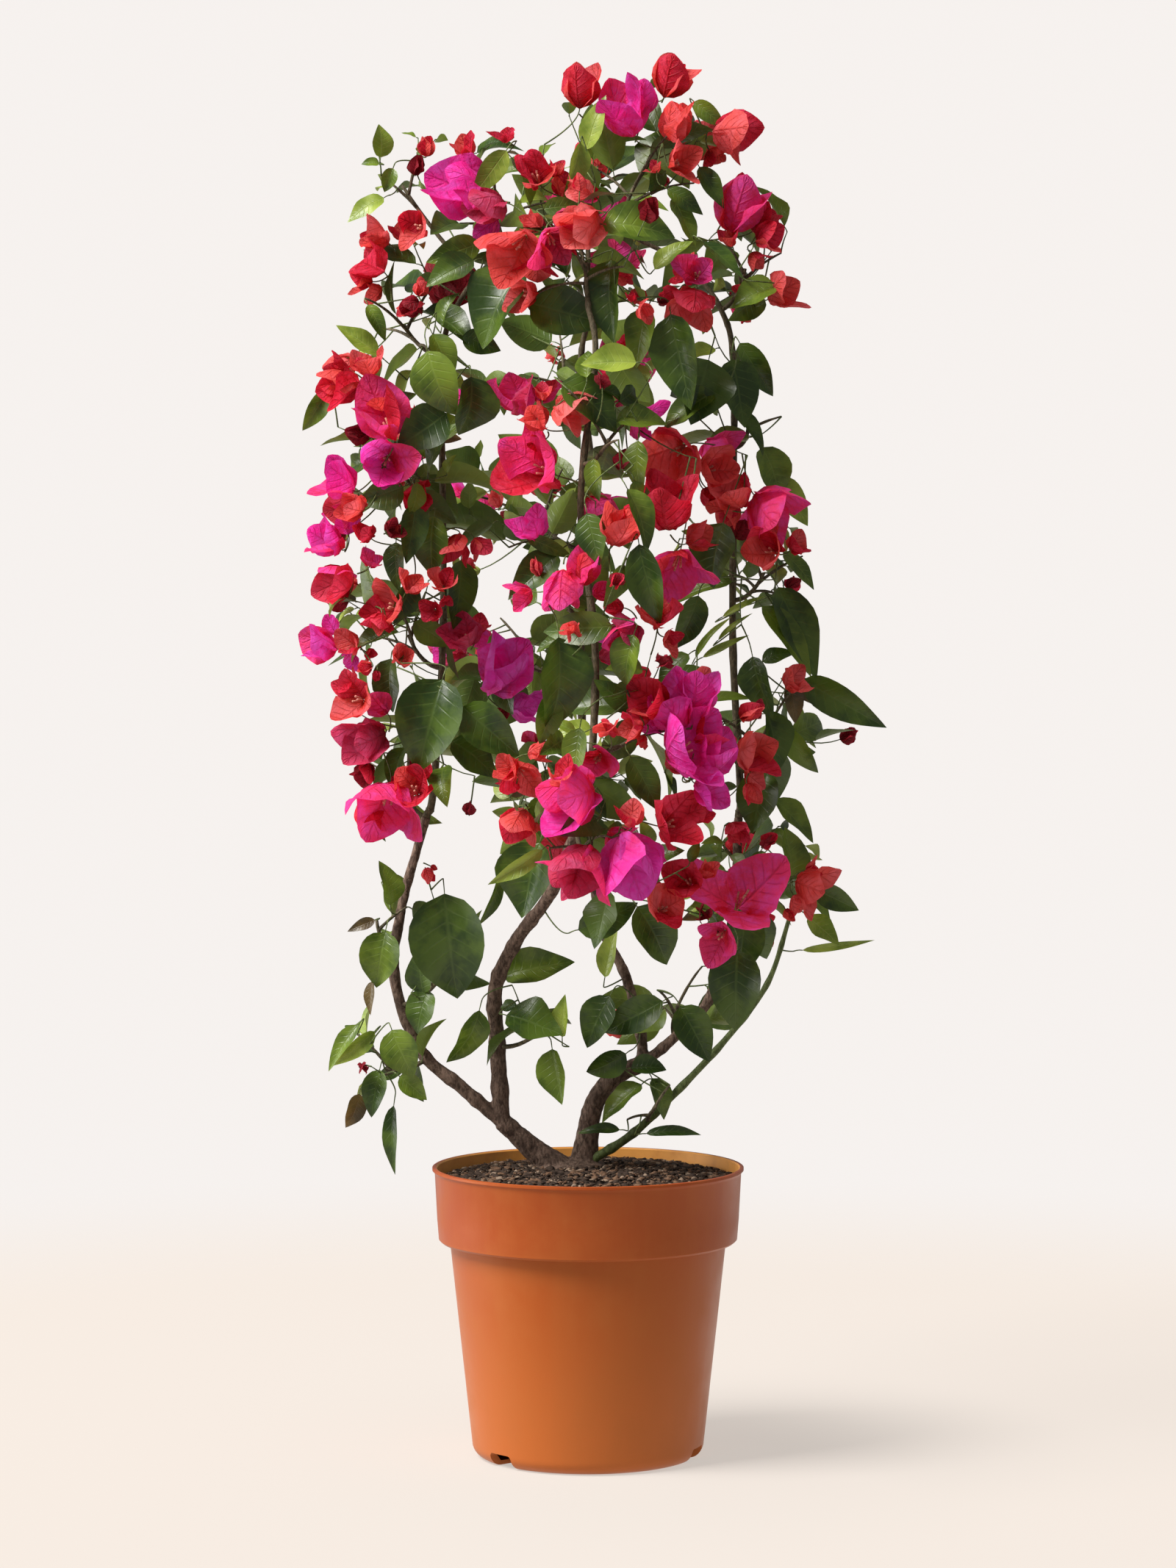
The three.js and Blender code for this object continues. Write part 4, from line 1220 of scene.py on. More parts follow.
BRACT_TINTS = {  # at the heart, over the blade and at the edge
    "magenta": ((0.84, 0.018, 0.170, 1), (0.95, 0.034, 0.400, 1), (0.92, 0.110, 0.640, 1)),
    "violet": ((0.76, 0.026, 0.260, 1), (0.88, 0.055, 0.560, 1), (0.88, 0.150, 0.720, 1)),
    "pink": ((0.84, 0.020, 0.060, 1), (0.95, 0.050, 0.210, 1), (0.93, 0.085, 0.440, 1)),
    "rose": ((0.46, 0.014, 0.036, 1), (0.64, 0.034, 0.110, 1), (0.66, 0.090, 0.220, 1)),
    "salmon": ((0.80, 0.080, 0.060, 1), (0.90, 0.165, 0.150, 1), (0.93, 0.240, 0.250, 1)),
    "coral": ((0.68, 0.040, 0.026, 1), (0.84, 0.090, 0.082, 1), (0.90, 0.150, 0.170, 1)),
    "crimson": ((0.46, 0.008, 0.012, 1), (0.68, 0.016, 0.042, 1), (0.82, 0.055, 0.120, 1)),
    "dark": ((0.16, 0.008, 0.010, 1), (0.27, 0.010, 0.020, 1), (0.38, 0.024, 0.046, 1)),
}
BESIDE = {  # the tint that one bract of a bloom may have instead
    "magenta": "pink", "violet": "magenta", "pink": "crimson", "rose": "pink",
    "salmon": "coral", "coral": "crimson", "crimson": "coral", "dark": "crimson",
}
PLACED_BLOOMS = {  # x, y, z, length, the way that it opens, half its opening in degrees
    "magenta": [
        (27, -30, 942, 58, -0.1, -0.6, 0.75, 28), (-82, -50, 888, 58, -0.6, -0.6, -0.2, 36),
        (-139, -60, 701, 46, 0.1, -0.8, -0.5, 44), (-170, -50, 686, 44, -0.7, -0.7, 0.1, 36),
        (-180, -40, 646, 46, -0.5, -0.7, 0.5, 30), (-184, -40, 572, 44, -0.7, -0.7, -0.1, 40),
        (65, -140, 506, 64, 0.1, -0.95, -0.1, 50), (-9, -165, 476, 64, 0, -1, -0.2, 32),
        (58, -135, 530, 50, -0.2, -0.8, 0.7, 30), (84, -125, 498, 46, 0.6, -0.8, 0.1, 30),
    ],
    "coral": [
        (58, -10, 966, 46, 0.3, -0.3, 0.9, 30), (60, -35, 933, 44, 0.1, -0.7, 0.7, 25),
        (62, -40, 907, 36, 0.1, -0.8, 0.3, 45), (97, -20, 929, 48, 0.6, -0.7, 0.3, 45),
        (124, -20, 857, 36, 0.3, -0.6, -0.5, 36), (134, -10, 819, 42, 0.7, -0.6, -0.1, 40),
        (38, -115, 802, 26, 0.1, -1, 0.1, 36), (-36, -60, 898, 42, 0, -0.9, 0.3, 34),
        (-85, -40, 917, 28, -0.2, -0.6, 0.7, 24), (-112, -20, 919, 24, 0.1, -0.1, 1, 10),
        (-118, -30, 864, 34, 0, -0.8, 0.5, 40), (-150, -60, 766, 34, -0.2, -0.7, 0.6, 40),
        (-160, -60, 669, 34, 0, -0.9, -0.4, 36), (-34, -105, 728, 36, -0.6, -0.8, 0, 34),
        (86, -60, 695, 44, 0.1, -0.8, 0.4, 34), (102, -60, 676, 42, 0, -0.95, 0, 44),
        (124, -60, 639, 44, 0.1, -0.8, -0.5, 40), (20, -150, 652, 46, 0.1, -0.9, 0.2, 34),
        (46, -130, 595, 40, 0.2, -0.9, -0.1, 44), (-164, -50, 573, 30, 0, -0.9, 0.2, 40),
        (-144, -60, 591, 28, 0.1, -0.9, -0.2, 40), (-153, -60, 559, 20, -0.4, -0.6, -0.5, 14),
        (-129, -55, 565, 26, 0, -0.9, -0.3, 34), (-160, -60, 537, 40, -0.2, -0.9, -0.3, 50),
        (-122, -60, 615, 30, 0, -0.9, -0.2, 40), (31, -145, 520, 30, -0.3, -0.9, 0, 36),
        (113, -50, 473, 26, 0, -0.9, -0.2, 30), (-19, -175, 488, 32, -0.1, -0.95, 0.2, 34),
        (-53, -140, 491, 30, -0.3, -0.9, 0.1, 34), (-47, -130, 457, 40, -0.1, -0.9, -0.4, 40),
        (28, -165, 461, 32, 0.1, -0.9, 0.3, 34), (53, -115, 397, 42, -0.2, -0.8, -0.5, 34),
        (152, -60, 408, 42, 0.5, -0.8, 0, 42), (139, -60, 388, 18, 0.2, -0.6, -0.6, 12),
        (-111, -60, 416, 18, 0, -0.8, -0.4, 16),
    ],
    "crimson": [
        (-5, -20, 958, 44, -0.2, -0.5, 0.8, 26), (99, -20, 855, 24, -0.3, -0.8, 0.2, 40),
        (71, -85, 810, 42, 0, -0.9, -0.3, 46), (-48, -95, 846, 52, -0.1, -0.9, -0.3, 50),
        (-57, -50, 924, 24, 0, -0.5, 0.8, 44), (-146, -15, 857, 38, -0.5, -0.6, 0.5, 40),
        (-149, -20, 839, 42, -0.7, -0.6, -0.2, 40), (-167, -55, 754, 44, -0.7, -0.6, 0.2, 40),
        (60, -70, 707, 54, 0, -0.9, 0.1, 40), (54, -110, 666, 56, 0, -0.9, 0.2, 36),
        (-120, -70, 476, 42, 0.2, -0.9, 0.3, 40), (-153, -60, 651, 30, 0, -0.9, 0, 40),
        (44, -140, 536, 46, -0.3, -0.8, 0.4, 40), (112, -45, 498, 46, 0.2, -0.9, 0.1, 40),
        (102, -50, 445, 30, 0.2, -0.9, -0.2, 30), (-45, -130, 489, 44, -0.1, -0.9, 0.1, 40),
        (68, -110, 415, 38, -0.4, -0.8, 0.2, 40), (-90, -40, 641, 42, 0.2, -0.8, -0.5, 34),
        (-100, -45, 618, 30, -0.2, -0.8, 0.2, 36), (-108, -50, 598, 26, 0.1, -0.8, -0.4, 36),
    ],
    "pink": [
        (104, -20, 877, 58, 0, -0.6, 0.8, 24), (75, -80, 828, 36, 0.1, -0.9, 0.4, 42),
        (-138, -70, 729, 56, 0.1, -0.9, 0.2, 34), (-35, -100, 695, 62, -0.2, -0.9, -0.3, 34),
        (123, -55, 669, 54, 0.4, -0.8, -0.1, 36), (60, -110, 628, 54, 0, -0.8, -0.5, 44),
        (-3, -150, 626, 40, 0.3, -0.8, 0.4, 20), (-17, -150, 614, 44, -0.2, -0.8, -0.5, 20),
        (-171, -50, 619, 50, 0, -0.8, -0.5, 40), (-139, -60, 466, 62, -0.2, -0.9, -0.4, 44),
        (57, -130, 455, 54, 0.2, -0.9, -0.2, 44), (105, -95, 402, 64, 0, -1, 0, 58),
    ],
    "salmon": [
        (-1, -115, 860, 50, 0, -0.95, -0.2, 30), (-14, -115, 733, 42, 0.1, -0.9, 0.3, 30),
    ],
    "rose": [
        (-24, -105, 847, 42, 0, -0.95, -0.2, 44), (-66, -70, 875, 48, -0.2, -0.9, 0.1, 40),
        (-50, -50, 744, 48, -0.2, -0.9, 0, 34), (25, -140, 584, 46, -0.1, -0.9, -0.4, 30),
        (-86, -20, 579, 40, -0.2, -0.9, 0.2, 36), (-151, -60, 509, 52, 0, -0.9, -0.4, 24),
        (-3, -165, 429, 58, 0, -0.8, -0.6, 40),
    ],
    "dark": [
        (-119, -20, 906, 24, 0, 0, 1, 8), (-121, -40, 808, 32, -0.2, -0.8, -0.5, 30),
        (-154, -55, 487, 28, -0.2, -0.8, -0.4, 30), (-136, -60, 654, 22, 0, -0.9, -0.2, 40),
        (-82, -60, 461, 18, 0.1, -0.6, 0.5, 10), (-157, -30, 278, 18, -0.2, -0.7, 0.3, 14),
    ],
    "violet": [
        (-63, 60, 552, 66, 0, -1, 0, 36), (72, -130, 540, 48, 0.2, -0.6, 0.8, 20),
        (80, -140, 479, 38, 0.3, -0.7, -0.6, 30), (28, -165, 434, 60, 0.1, -0.8, -0.6, 26),
    ],
}
PALETTES = {  # the tints of the other blooms, as often as they are named
    "left": ("crimson", "coral", "pink", "magenta", "coral", "dark"),
    "right": ("coral", "crimson", "pink", "coral"),
    "front": ("pink", "magenta", "crimson", "coral"),
    "back": ("magenta", "violet", "crimson", "rose", "pink"),
    "crown": ("coral", "crimson", "rose", "pink", "coral"),
    "centre": ("crimson", "coral"),
    "base": ("coral", "dark"),
}
BRACTS = 3
BRACT_SHARE = 0.54  # of a bloom's own length; the wider blooms have longer bracts for their size
BRACT_GROWTH = 235
BRACT_VEIN_WIDTH = 0.16
SISTER_FROM = 24  # a bloom as long as this has one or two smaller ones beside it
SECOND_SISTER = 0.3
BESIDE_CHANCE = 0.22
TUBES_FROM = 22  # a bloom as long as this shows its flower tubes
BLOOM_CHANCE = (0.02, 0.08, 0.13, 0.20)  # on a finer twig, by the mass's own number of blooms
BUD_CHANCE = 0.3
BLOOM_LENGTHS = (16, 30)
TIP_BLOOM_LENGTH = 30
BUD_ROOM = 16
BEHIND = 20  # a twig whose tip is past this is on the plant's back,
BACK_BLOOMS = 3  # where as many more of them bloom,
BACK_GROWTH = 1.35  # with larger blooms, because none is listed there
TUBE_TINTS = ((0.42, 0.10, 0.10, 1), (0.62, 0.30, 0.20, 1))


def bract_finish(name, heart, blade, edge):
    """Thin coloured paper that light comes through, darker at the heart and on its veins."""
    material, nodes, place, output = new_material(name)
    lines = nodes.add("ShaderNodeGroup", node_tree=bract_veins)
    lines.inputs["Width"].default_value = BRACT_VEIN_WIDTH
    rib = lines.outputs["Veins"]
    along = nodes.add("ShaderNodeSeparateXYZ", {0: place.outputs["UV"]}).outputs[1]
    patches = nodes.noise(place.outputs["Object"], 60.0, 5.0, 0.65)
    crinkle = nodes.noise(place.outputs["Object"], 300.0, 4.0, 0.6)
    tint = nodes.mix(nodes.ramp(along, 0.02, 0.5), heart, blade)
    tint = nodes.mix(nodes.ramp(patches, 0.4, 0.66), tint, edge)
    tint = nodes.mix(nodes.math("MULTIPLY", rib, 0.36), tint, heart)
    raised, sunk = nodes.math("MULTIPLY", crinkle, 1.2), nodes.math("MULTIPLY", rib, -0.8)
    height = nodes.math("ADD", raised, sunk)
    normal = nodes.bump(height, 0.75, 0.0016)
    skin = nodes.add(
        "ShaderNodeBsdfPrincipled",
        {
            "Base Color": tint,
            "Roughness": nodes.ramp(patches, 0.3, 0.7, 0.5, 0.66),
            "Specular IOR Level": 0.3,
            "Normal": normal,
        },
    )
    through = nodes.add("ShaderNodeBsdfTranslucent", {"Color": tint, "Normal": normal})
    blend = nodes.add("ShaderNodeMixShader", {0: 0.5, 1: skin.outputs[0], 2: through.outputs[0]})
    nodes.tree.links.new(blend.outputs[0], output.inputs["Surface"])
    return material


bracts = {kind: [] for kind in BRACT_TINTS}
tubes, bloom_shoots = [], []


def add_bloom(kind, heart, axis, length, opening):
    """Three bracts that open round an axis, and the flower tubes in them."""
    axis = axis.normalized()
    first = axis.cross(SKEW).normalized()
    phase = 2 * math.pi * dice()
    for k in range(BRACTS):
        tint = BESIDE[kind] if dice() < BESIDE_CHANCE else kind
        radial = Quaternion(axis, phase + 2 * math.pi * (k + 0.3 * dice()) / BRACTS) @ first
        angle = math.radians(opening * (0.7 + 0.5 * dice()) + 10)
        direction = axis * math.cos(angle) + radial * math.sin(angle)
        size = length * (0.84 + 0.26 * dice())
        bracts[tint].append(
            (
                heart + radial * 0.03 * length,
                direction,
                axis - radial,
                size,
                0.76 + 0.2 * dice(),
                0.25 + 0.4 * dice(),
                -1.1 + 1.1 * dice(),
                0.11 + 0.14 * dice(),
                dice(),
            )
        )
        if length > TUBES_FROM:
            out = (axis + radial * 0.22).normalized()
            tip = heart + out * length * (0.3 + 0.08 * dice())
            tubes.append(arch(heart, heart.lerp(tip, 0.5) + radial * 0.6, tip))


for kind, rows in PLACED_BLOOMS.items():
    for x, y, z, length, aside, ahead, up, opening in rows:
        length *= BRACT_SHARE + length / BRACT_GROWTH
        axis = Vector((aside + 0.7 * (dice() - 0.5), ahead * 0.35, up + 1.1 * (dice() - 0.4)))
        axis.normalize()
        heart = Vector((x, y, z)) - axis * length * 0.42 * math.cos(math.radians(opening))
        bloom_shoots.append(shoot_to(heart, axis))
        take(heart, axis, length, placed=True)
        add_bloom(kind, heart, axis, length, opening)
        for _ in range((length > SISTER_FROM) + (dice() < SECOND_SISTER)):
            turn = 2 * math.pi * dice()
            away = Vector((math.cos(turn), 0.5, math.sin(turn)))
            lean = (axis + away * 0.9).normalized()
            foot = heart + away * length * 0.34
            bloom_shoots.append(arch(heart - axis * 4, foot - lean * 6, foot))
            sister = BESIDE[kind] if dice() < 0.4 else kind
            add_bloom(sister, foot, lean, length * (0.4 + 0.25 * dice()), opening)

for mass in masses:
    palette = PALETTES[mass.side]
    for twig, _, (lean, phase, size), blooms in mass.twigs:
        if not blooms:
            continue
        tip = twig.line(1)
        axis = tangent(twig.line, 1) * 0.45 + outward_at(tip) * 0.75 + UP * (0.45 - 0.9 * lean)
        axis.normalize()
        length = TIP_BLOOM_LENGTH * (0.8 + 0.4 * size)
        if is_free(mass, tip, axis, length * 0.8):
            take(tip, axis, length)
            twig.carry(1)
            add_bloom(palette[int(len(palette) * phase)], tip, axis, length, 34 + 16 * dice())
    for fine in mass.fine:
        chance, kind = dice(), palette[int(len(palette) * dice() * 0.999)]
        tip = fine.line(1)
        axis = tangent(fine.line, 1) * 0.6 + outward_at(tip) * 0.5 + UP * (0.5 - 0.9 * dice())
        axis.normalize()
        if chance < BLOOM_CHANCE[mass.blooms] * (BACK_BLOOMS if tip.y > BEHIND else 1):
            length = BLOOM_LENGTHS[0] + (BLOOM_LENGTHS[1] - BLOOM_LENGTHS[0]) * dice()
            length *= BACK_GROWTH if tip.y > BEHIND else 1
            if is_free(mass, tip, axis, length * 0.8):
                take(tip, axis, length)
                fine.carry(1)
                add_bloom(kind, tip, axis, length, 28 + 20 * dice())
        elif chance > 1 - BUD_CHANCE and mass.blooms and is_free(mass, tip, axis, BUD_ROOM):
            take(tip, axis, BUD_ROOM)
            fine.carry(1)
            add_bloom("dark" if dice() < 0.5 else "coral", tip, axis, 13 + 7 * dice(), 11)

bract_veins = veins("bract_veins", 6.0, 0.3)
for kind, rows in bracts.items():
    thing = join_copies(f"bracts_{kind}", [(bract_form, blade_copies(bract_form, rows, 1.8))])
    add_piece(thing, "bract", every_mass, bract_finish(f"bract_{kind}", *BRACT_TINTS[kind]))

tube_shape = tube_form(6, 3)
copies = [bend_tube(tube_shape, curve, steady(1.0, 0.8), 3) for curve in tubes]
tube_skin, nodes, place, output = new_material("flower_tubes")
speck = nodes.noise(place.outputs["Object"], 700.0, 3.0)
tint = nodes.mix(nodes.ramp(speck, 0.35, 0.65), *TUBE_TINTS)
skin = nodes.add(
    "ShaderNodeBsdfPrincipled",
    {"Base Color": tint, "Roughness": 0.6, "Normal": nodes.bump(speck, 0.4, 0.0003)},
)
nodes.tree.links.new(skin.outputs[0], output.inputs["Surface"])
add_piece(join_copies("flower_tubes", [(tube_shape, copies)]), "bract", every_mass, tube_skin)


# ---- Leaves ----
# Glossy oval leaves with pointed tips, on short stalks, left and right along the twigs. Old ones
# are dark green, and those at the ends of new shoots are fresh green or bronze. The dark green
# given to some listed leaves that hang in shade inside the crown is also painted shade.

LEAF_LENGTH = 80
LEAF_VEIN_WIDTH = 0.12
FINE_LEAVES = 2  # on each finer twig, and one more on the plant's back
FINE_LEAF_LENGTHS = (19, 48)
YOUNG_UNDER = 36  # a seeded leaf shorter than this may be fresh green or bronze
LEAF_TRIES = 8
LEAF_TINTS = {  # from the shaded to the sunlit patches, and the veins
    "dark": ((0.024, 0.054, 0.007, 1), (0.072, 0.126, 0.013, 1), (0.130, 0.200, 0.044, 1)),
    "mid": ((0.056, 0.102, 0.009, 1), (0.155, 0.230, 0.022, 1), (0.240, 0.330, 0.070, 1)),
    "fresh": ((0.150, 0.225, 0.020, 1), (0.310, 0.400, 0.054, 1), (0.400, 0.480, 0.130, 1)),
    "bronze": ((0.060, 0.042, 0.014, 1), (0.150, 0.100, 0.030, 1), (0.210, 0.120, 0.050, 1)),
}
PLACED_LEAVES = {  # x, y, z, length, slope in the front view, width
    "fresh": [
        (-152, -20, 880, 34, 205, 0.5), (-143, -15, 921, 26, 80, 0.75),
        (-65, -60, 901, 44, 235, 0.42), (3, -40, 931, 42, 75, 0.45),
        (-8, -60, 903, 42, 260, 0.42), (-156, -30, 784, 38, 140, 0.42),
        (18, -125, 766, 40, 178, 0.6), (54, -90, 840, 34, 48, 0.45), (141, -5, 678, 44, 312, 0.5),
        (-160, -20, 293, 40, 222, 0.34), (162, -30, 377, 32, 320, 0.6),
        (170, -20, 362, 54, 8, 0.12), (-45, -120, 426, 46, 216, 0.28),
        (-18, -35, 311, 34, 90, 0.5), (14, 20, 351, 44, 82, 0.4), (82, -30, 578, 40, 62, 0.16),
        (92, -30, 572, 38, 30, 0.16), (98, -30, 585, 34, 48, 0.14), (104, -20, 600, 38, 35, 0.14),
    ],
    "mid": [
        (-106, -75, 758, 56, 282, 0.68), (-150, -15, 909, 14, 170, 0.6),
        (-138, -15, 899, 20, 250, 0.6), (-88, -40, 847, 44, 200, 0.5),
        (82, -20, 944, 30, 320, 0.45), (29, -115, 860, 56, 2, 0.55), (-20, -90, 873, 30, 10, 0.5),
        (-99, -50, 804, 30, 80, 0.5), (-187, -30, 739, 36, 245, 0.42),
        (35, -90, 788, 44, 250, 0.55), (71, -80, 740, 46, 205, 0.5),
        (33, -110, 729, 38, 10, 0.55), (129, -10, 699, 46, 300, 0.6),
        (4, -120, 690, 32, 270, 0.45), (36, -120, 673, 38, 290, 0.5),
        (118, -20, 819, 36, 200, 0.7), (-118, -50, 676, 26, 270, 0.6),
        (-29, -100, 643, 38, 338, 0.3), (35, -155, 665, 50, 300, 0.42),
        (-3, -150, 587, 54, 184, 0.45), (26, -155, 570, 40, 250, 0.6),
        (-26, -140, 529, 40, 262, 0.5), (137, -25, 583, 64, 312, 0.38),
        (147, 0, 630, 40, 320, 0.36), (145, -10, 502, 48, 305, 0.36),
        (142, -20, 455, 44, 316, 0.5), (-8, -150, 506, 40, 260, 0.5),
        (-139, -20, 404, 34, 92, 0.6), (-145, -25, 358, 44, 258, 0.7),
        (-171, -20, 296, 42, 228, 0.32), (-132, -30, 291, 40, 292, 0.7),
        (-125, -20, 265, 28, 322, 0.6), (-80, -40, 302, 50, 256, 0.5), (-41, 0, 346, 54, 20, 0.5),
        (-23, -30, 276, 42, 278, 0.6), (142, -30, 425, 38, 92, 0.7), (26, -10, 255, 42, 216, 0.5),
        (51, -10, 258, 34, 300, 0.6), (94, -30, 538, 36, 12, 0.28),
        (-64, -60, 400, 42, 258, 0.26), (32, -115, 700, 40, 262, 0.5),
        (-100, -60, 776, 42, 300, 0.5), (20, -150, 618, 34, 250, 0.5),
        (66, -30, 871, 40, 300, 0.5), (-109, -45, 646, 46, 262, 0.6),
        (-147, -40, 800, 30, 300, 0.4),
    ],
    # dark green: old leaves, and partly painted shade, on listed leaves that hang in shade inside
    # the crown
    "dark": [
        (84, -30, 894, 36, 302, 0.42), (65, -40, 883, 34, 330, 0.42),
        (-61, -60, 813, 64, 232, 0.75), (-21, -80, 803, 62, 345, 0.62),
        (-77, -40, 784, 32, 340, 0.6), (-79, -60, 742, 48, 275, 0.8),
        (-111, -60, 724, 44, 215, 0.75), (0, -120, 743, 54, 330, 0.68),
        (61, -90, 774, 70, 280, 0.52), (103, -60, 753, 52, 282, 0.62),
        (115, -30, 768, 48, 302, 0.42), (91, -60, 842, 40, 322, 0.4),
        (-139, -50, 679, 36, 200, 0.7), (-134, -50, 632, 36, 265, 0.5),
        (-88, -20, 615, 54, 272, 0.52), (-33, -100, 626, 52, 222, 0.5),
        (2, -150, 651, 40, 282, 0.6), (38, -155, 621, 60, 280, 0.42),
        (87, -70, 642, 50, 250, 0.75), (-17, -150, 555, 72, 276, 0.58),
        (-72, -85, 520, 58, 318, 0.58), (-108, -80, 526, 70, 252, 0.68),
        (-80, -75, 501, 44, 332, 0.62), (145, -20, 590, 74, 297, 0.4),
        (172, -20, 536, 72, 328, 0.36), (131, -20, 511, 52, 290, 0.5),
        (120, -20, 469, 48, 250, 0.7), (59, -90, 562, 36, 212, 0.5),
        (37, -120, 485, 44, 300, 0.5), (-97, -50, 371, 82, 275, 0.68),
        (-149, -25, 264, 38, 256, 0.5), (-139, -20, 232, 54, 262, 0.24),
        (-117, -40, 342, 36, 100, 0.6), (-116, -40, 322, 34, 250, 0.7),
        (-41, -45, 313, 44, 350, 0.85), (7, -20, 314, 46, 238, 0.6),
        (35, -20, 315, 54, 206, 0.48), (73, -30, 306, 46, 300, 0.6),
        (102, -60, 341, 60, 266, 0.64), (45, -70, 378, 50, 305, 0.68),
        (170, -40, 398, 36, 335, 0.5), (16, -10, 279, 36, 212, 0.6), (40, -10, 277, 28, 10, 0.6),
        (11, -15, 234, 34, 172, 0.28), (56, -20, 233, 46, 10, 0.2),
        (-39, -100, 421, 58, 252, 0.78), (10, -110, 393, 44, 250, 0.7),
        (130, -25, 567, 26, 30, 0.5), (70, -70, 556, 38, 10, 0.35), (78, -75, 752, 50, 255, 0.85),
        (112, -40, 728, 44, 320, 0.3), (10, -60, 383, 50, 20, 0.5),
        (-126, -45, 606, 34, 250, 0.6), (13, -95, 815, 60, 262, 0.5),
        (-92, -50, 834, 40, 200, 0.6), (-121, -50, 655, 44, 265, 0.5),
        (118, -35, 549, 50, 282, 0.5), (-139, -40, 549, 40, 262, 0.6),
        (72, -50, 592, 44, 255, 0.5),
    ],
    "bronze": [
        (158, 0, 539, 48, 334, 0.36), (144, -10, 536, 32, 280, 0.5),
        (-157, -20, 378, 22, 200, 0.4), (-162, -20, 248, 28, 262, 0.6),
        (-153, -20, 329, 26, 258, 0.4),
    ],
}


def leaf_finish(name, shade, sun, vein):
    """A waxy leaf: blotched from shade to sun, with paler veins and a paler underside."""
    material, nodes, place, output = new_material(name)
    lines = nodes.add("ShaderNodeGroup", node_tree=leaf_veins)
    lines.inputs["Width"].default_value = LEAF_VEIN_WIDTH
    rib = lines.outputs["Veins"]
    patches = nodes.noise(place.outputs["Object"], 34.0, 4.0, 0.6)
    fine = nodes.noise(place.outputs["Object"], 420.0, 3.0)
    tint = nodes.mix(nodes.ramp(patches, 0.39, 0.61), shade, sun)
    tint = nodes.mix(nodes.math("MULTIPLY", rib, 0.32), tint, vein)
    under = nodes.mix(0.45, tint, vein)
    back = nodes.add("ShaderNodeNewGeometry").outputs["Backfacing"]
    tint = nodes.mix(back, tint, under)
    height = nodes.math("SUBTRACT", nodes.math("MULTIPLY", fine, 0.25), rib)
    normal = nodes.bump(height, 0.35, 0.0006)
    skin = nodes.add(
        "ShaderNodeBsdfPrincipled",
        {
            "Base Color": tint,
            "Roughness": nodes.ramp(fine, 0.2, 0.8, 0.28, 0.44),
            "Specular IOR Level": 0.5,
            "Normal": normal,
        },
    )
    through = nodes.add("ShaderNodeBsdfTranslucent", {"Color": tint, "Normal": normal})
    blend = nodes.add("ShaderNodeMixShader", {0: 0.22, 1: skin.outputs[0], 2: through.outputs[0]})
    nodes.tree.links.new(blend.outputs[0], output.inputs["Surface"])
    return material


leaf_veins = veins("leaf_veins", 8.0, 0.16)
leaves = {kind: [] for kind in LEAF_TINTS}
leaf_stalks, leaf_shoots = [], []


def add_leaf(kind, place, direction, facing, length, width):
    """A leaf and its stalk, which together are as long as length."""
    stalk = length * (0.1 + 0.06 * dice())
    base = place + direction * stalk
    leaf_stalks.append(arch(place, place.lerp(base, 0.5) + UP * stalk * 0.12, base))
    leaves[kind].append(
        (
            base,
            direction,
            facing,
            length - stalk,
            width,
            0.2 + 0.5 * dice(),
            0.15 + 0.9 * dice(),
            0.06 + 0.12 * dice(),
            dice(),
        )
    )


def grow_leaf(mass, twig, along, index, droop, length, roll):
    """A leaf to the left or right of a twig, turned to where it has room."""
    place, forward = twig.line(along), tangent(twig.line, along)
    across, outward = forward.cross(SKEW).normalized(), outward_at(place)
    width = 0.4 + 0.22 * dice()
    kind = "dark" if dice() < 0.4 else "mid"
    if length < YOUNG_UNDER and dice() < 0.45:
        kind = "bronze" if dice() < 0.12 else "fresh"
    for i in range(LEAF_TRIES):
        side = Quaternion(forward, math.pi * (index + i / 4)) @ across
        direction = (forward * 0.4 + side * 0.8 + outward * 0.25 - UP * droop).normalized()
        if is_free(mass, place, direction, length):
            facing = Quaternion(direction, roll) @ (outward + UP * 0.55 + side * 0.25)
            take(place, direction, length)
            twig.carry(along)
            add_leaf(kind, place, direction, facing, length, width)
            return


for kind, rows in PLACED_LEAVES.items():
    for x, y, z, length, slope, width in rows:
        angle = math.radians(slope)
        direction = Vector((math.cos(angle), -0.12 - 0.25 * dice(), math.sin(angle))).normalized()
        facing = Vector((1.5 * (dice() - 0.5), -0.8, 0.9 * dice() - 0.1))
        foot = Vector((x, y, z)) - direction * length * 0.5
        leaf_shoots.append(shoot_to(foot, direction))
        take(foot, direction, length, placed=True)
        add_leaf(kind, foot, direction, facing, length * 1.08, width)

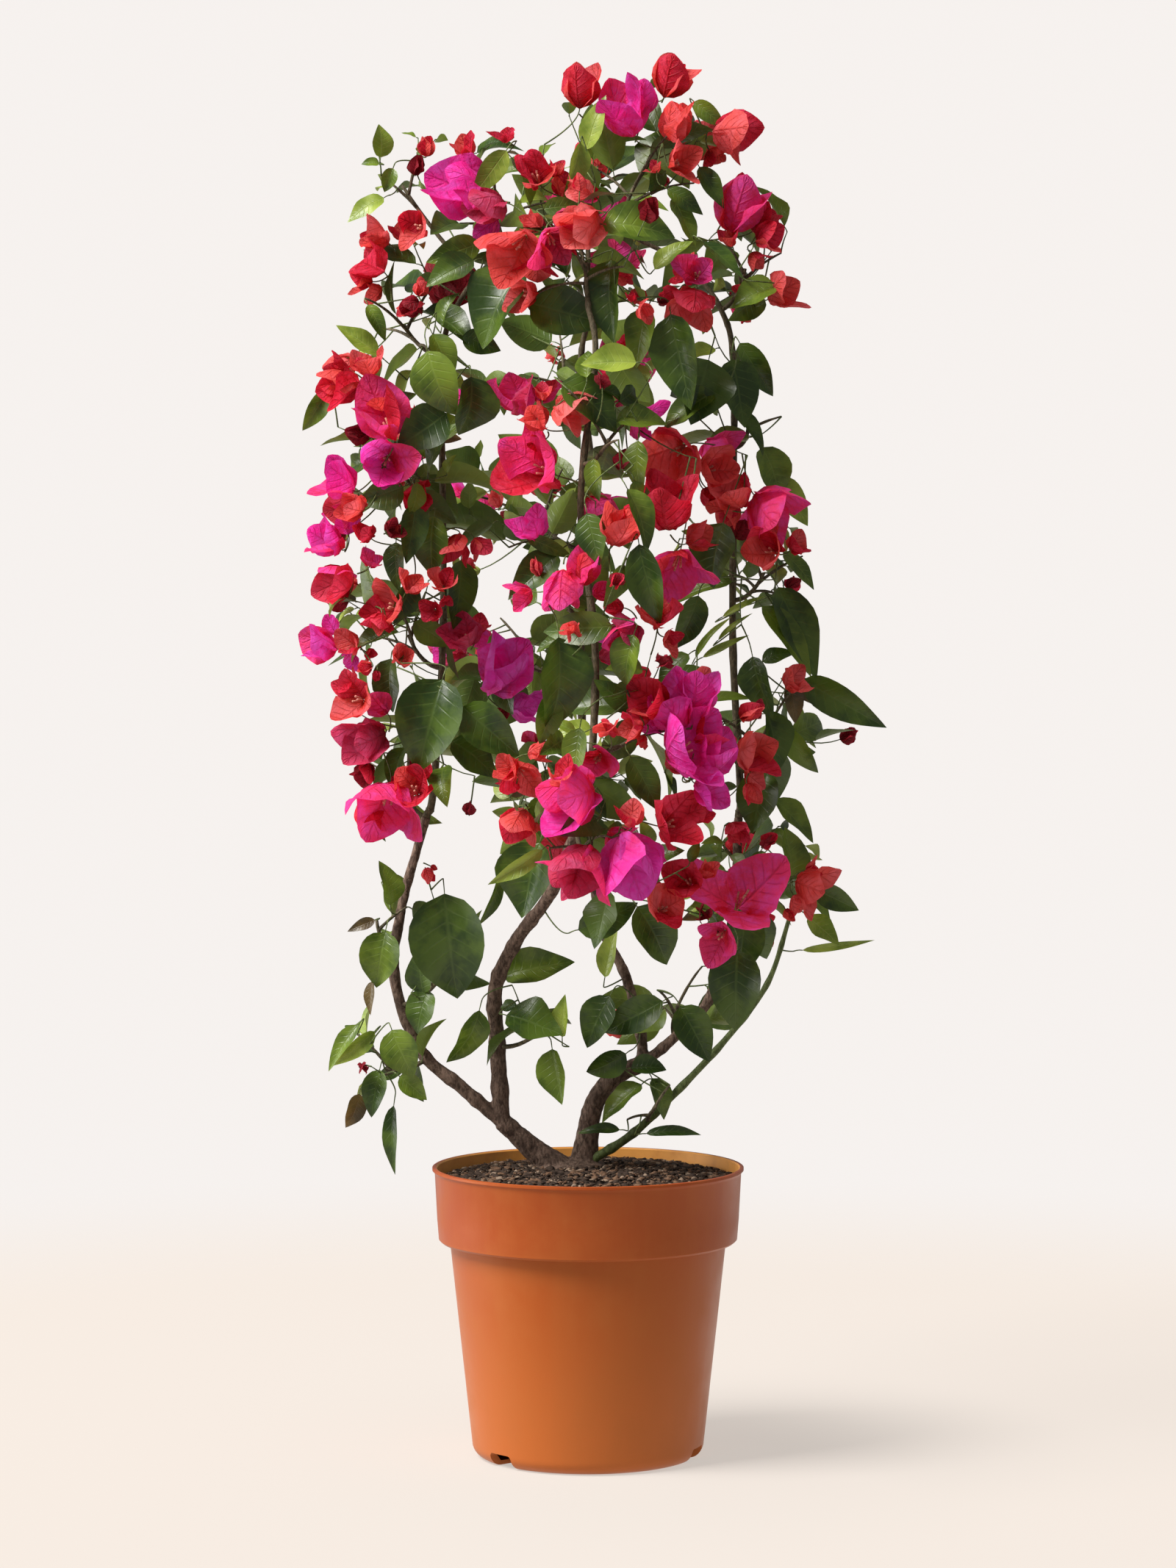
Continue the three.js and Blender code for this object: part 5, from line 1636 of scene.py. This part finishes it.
for mass in masses:
    for twig, draws, _, _ in mass.twigs:
        for k, (along, droop, size, roll) in enumerate(draws):
            length = mass.leaf * LEAF_LENGTH * (0.48 + 0.42 * size)
            along = 0.25 + 0.75 * (k + 0.6 * along) / len(draws)
            grow_leaf(mass, twig, along, k, 0.1 + 0.6 * droop, length, 2.2 * (roll - 0.5))
    for fine in mass.fine:
        count = FINE_LEAVES + (fine.line(1).y > BEHIND)
        for k in range(count):
            short, long = FINE_LEAF_LENGTHS
            length = mass.leaf * (short + (long - short) * dice() ** 1.4)
            along = 0.35 + 0.6 * (k + 0.5 * dice()) / count
            droop, roll = 0.5 * dice() - 0.05, 1.6 * (dice() - 0.5)
            grow_leaf(mass, fine, along, k, droop, length, roll)

for kind, rows in leaves.items():
    thing = join_copies(f"leaves_{kind}", [(leaf_form, blade_copies(leaf_form, rows, 1.25))])
    add_piece(thing, "leaf", every_mass, leaf_finish(f"leaf_{kind}", *LEAF_TINTS[kind]))


# ---- The twigs themselves ----
# Brown where they are a season old, and green in the last growth, with the stalks of the
# leaves and the blooms.

TWIG_STEPS = 8
FINE_STEPS = 5
STALK_STEPS = 3
CURVED_STEPS = 11  # of the shoots to what was listed, which bend more
STALK_RADII = (0.62, 0.45)
SHOOT_RADII = (0.62, 0.42)
TWIG_NODES = 14  # from one node to the next

stem_form, twig_form = tube_form(7, TWIG_STEPS), tube_form(6, TWIG_STEPS)
stem_copies = [bend_tube(stem_form, m.stem, steady(*STEM_RADII), TWIG_STEPS) for m in masses]
twig_copies = []
for twig in [row[0] for m in masses for row in m.twigs if row[0].reach]:
    at = knotted(TWIG_RADII, length_of(twig.drawn), TWIG_NODES, 0.25, 0)
    twig_copies.append(bend_tube(twig_form, twig.drawn, at, TWIG_STEPS))
brown_twigs = join_copies("twigs", [(stem_form, stem_copies), (twig_form, twig_copies)])
add_piece(brown_twigs, "bark", every_mass, thin_bark)

parts = []
for sides, steps, radii, curves in (
    (5, FINE_STEPS, FINE_RADII, [f.drawn for m in masses for f in m.fine if f.reach]),
    (4, STALK_STEPS, STALK_RADII, leaf_stalks),
    (5, CURVED_STEPS, SHOOT_RADII, bloom_shoots + leaf_shoots),
):
    form = tube_form(sides, steps)
    parts.append((form, [bend_tube(form, curve, steady(*radii), steps) for curve in curves]))
add_piece(join_copies("green_twigs", parts), "green_bark", every_mass, green_bark)
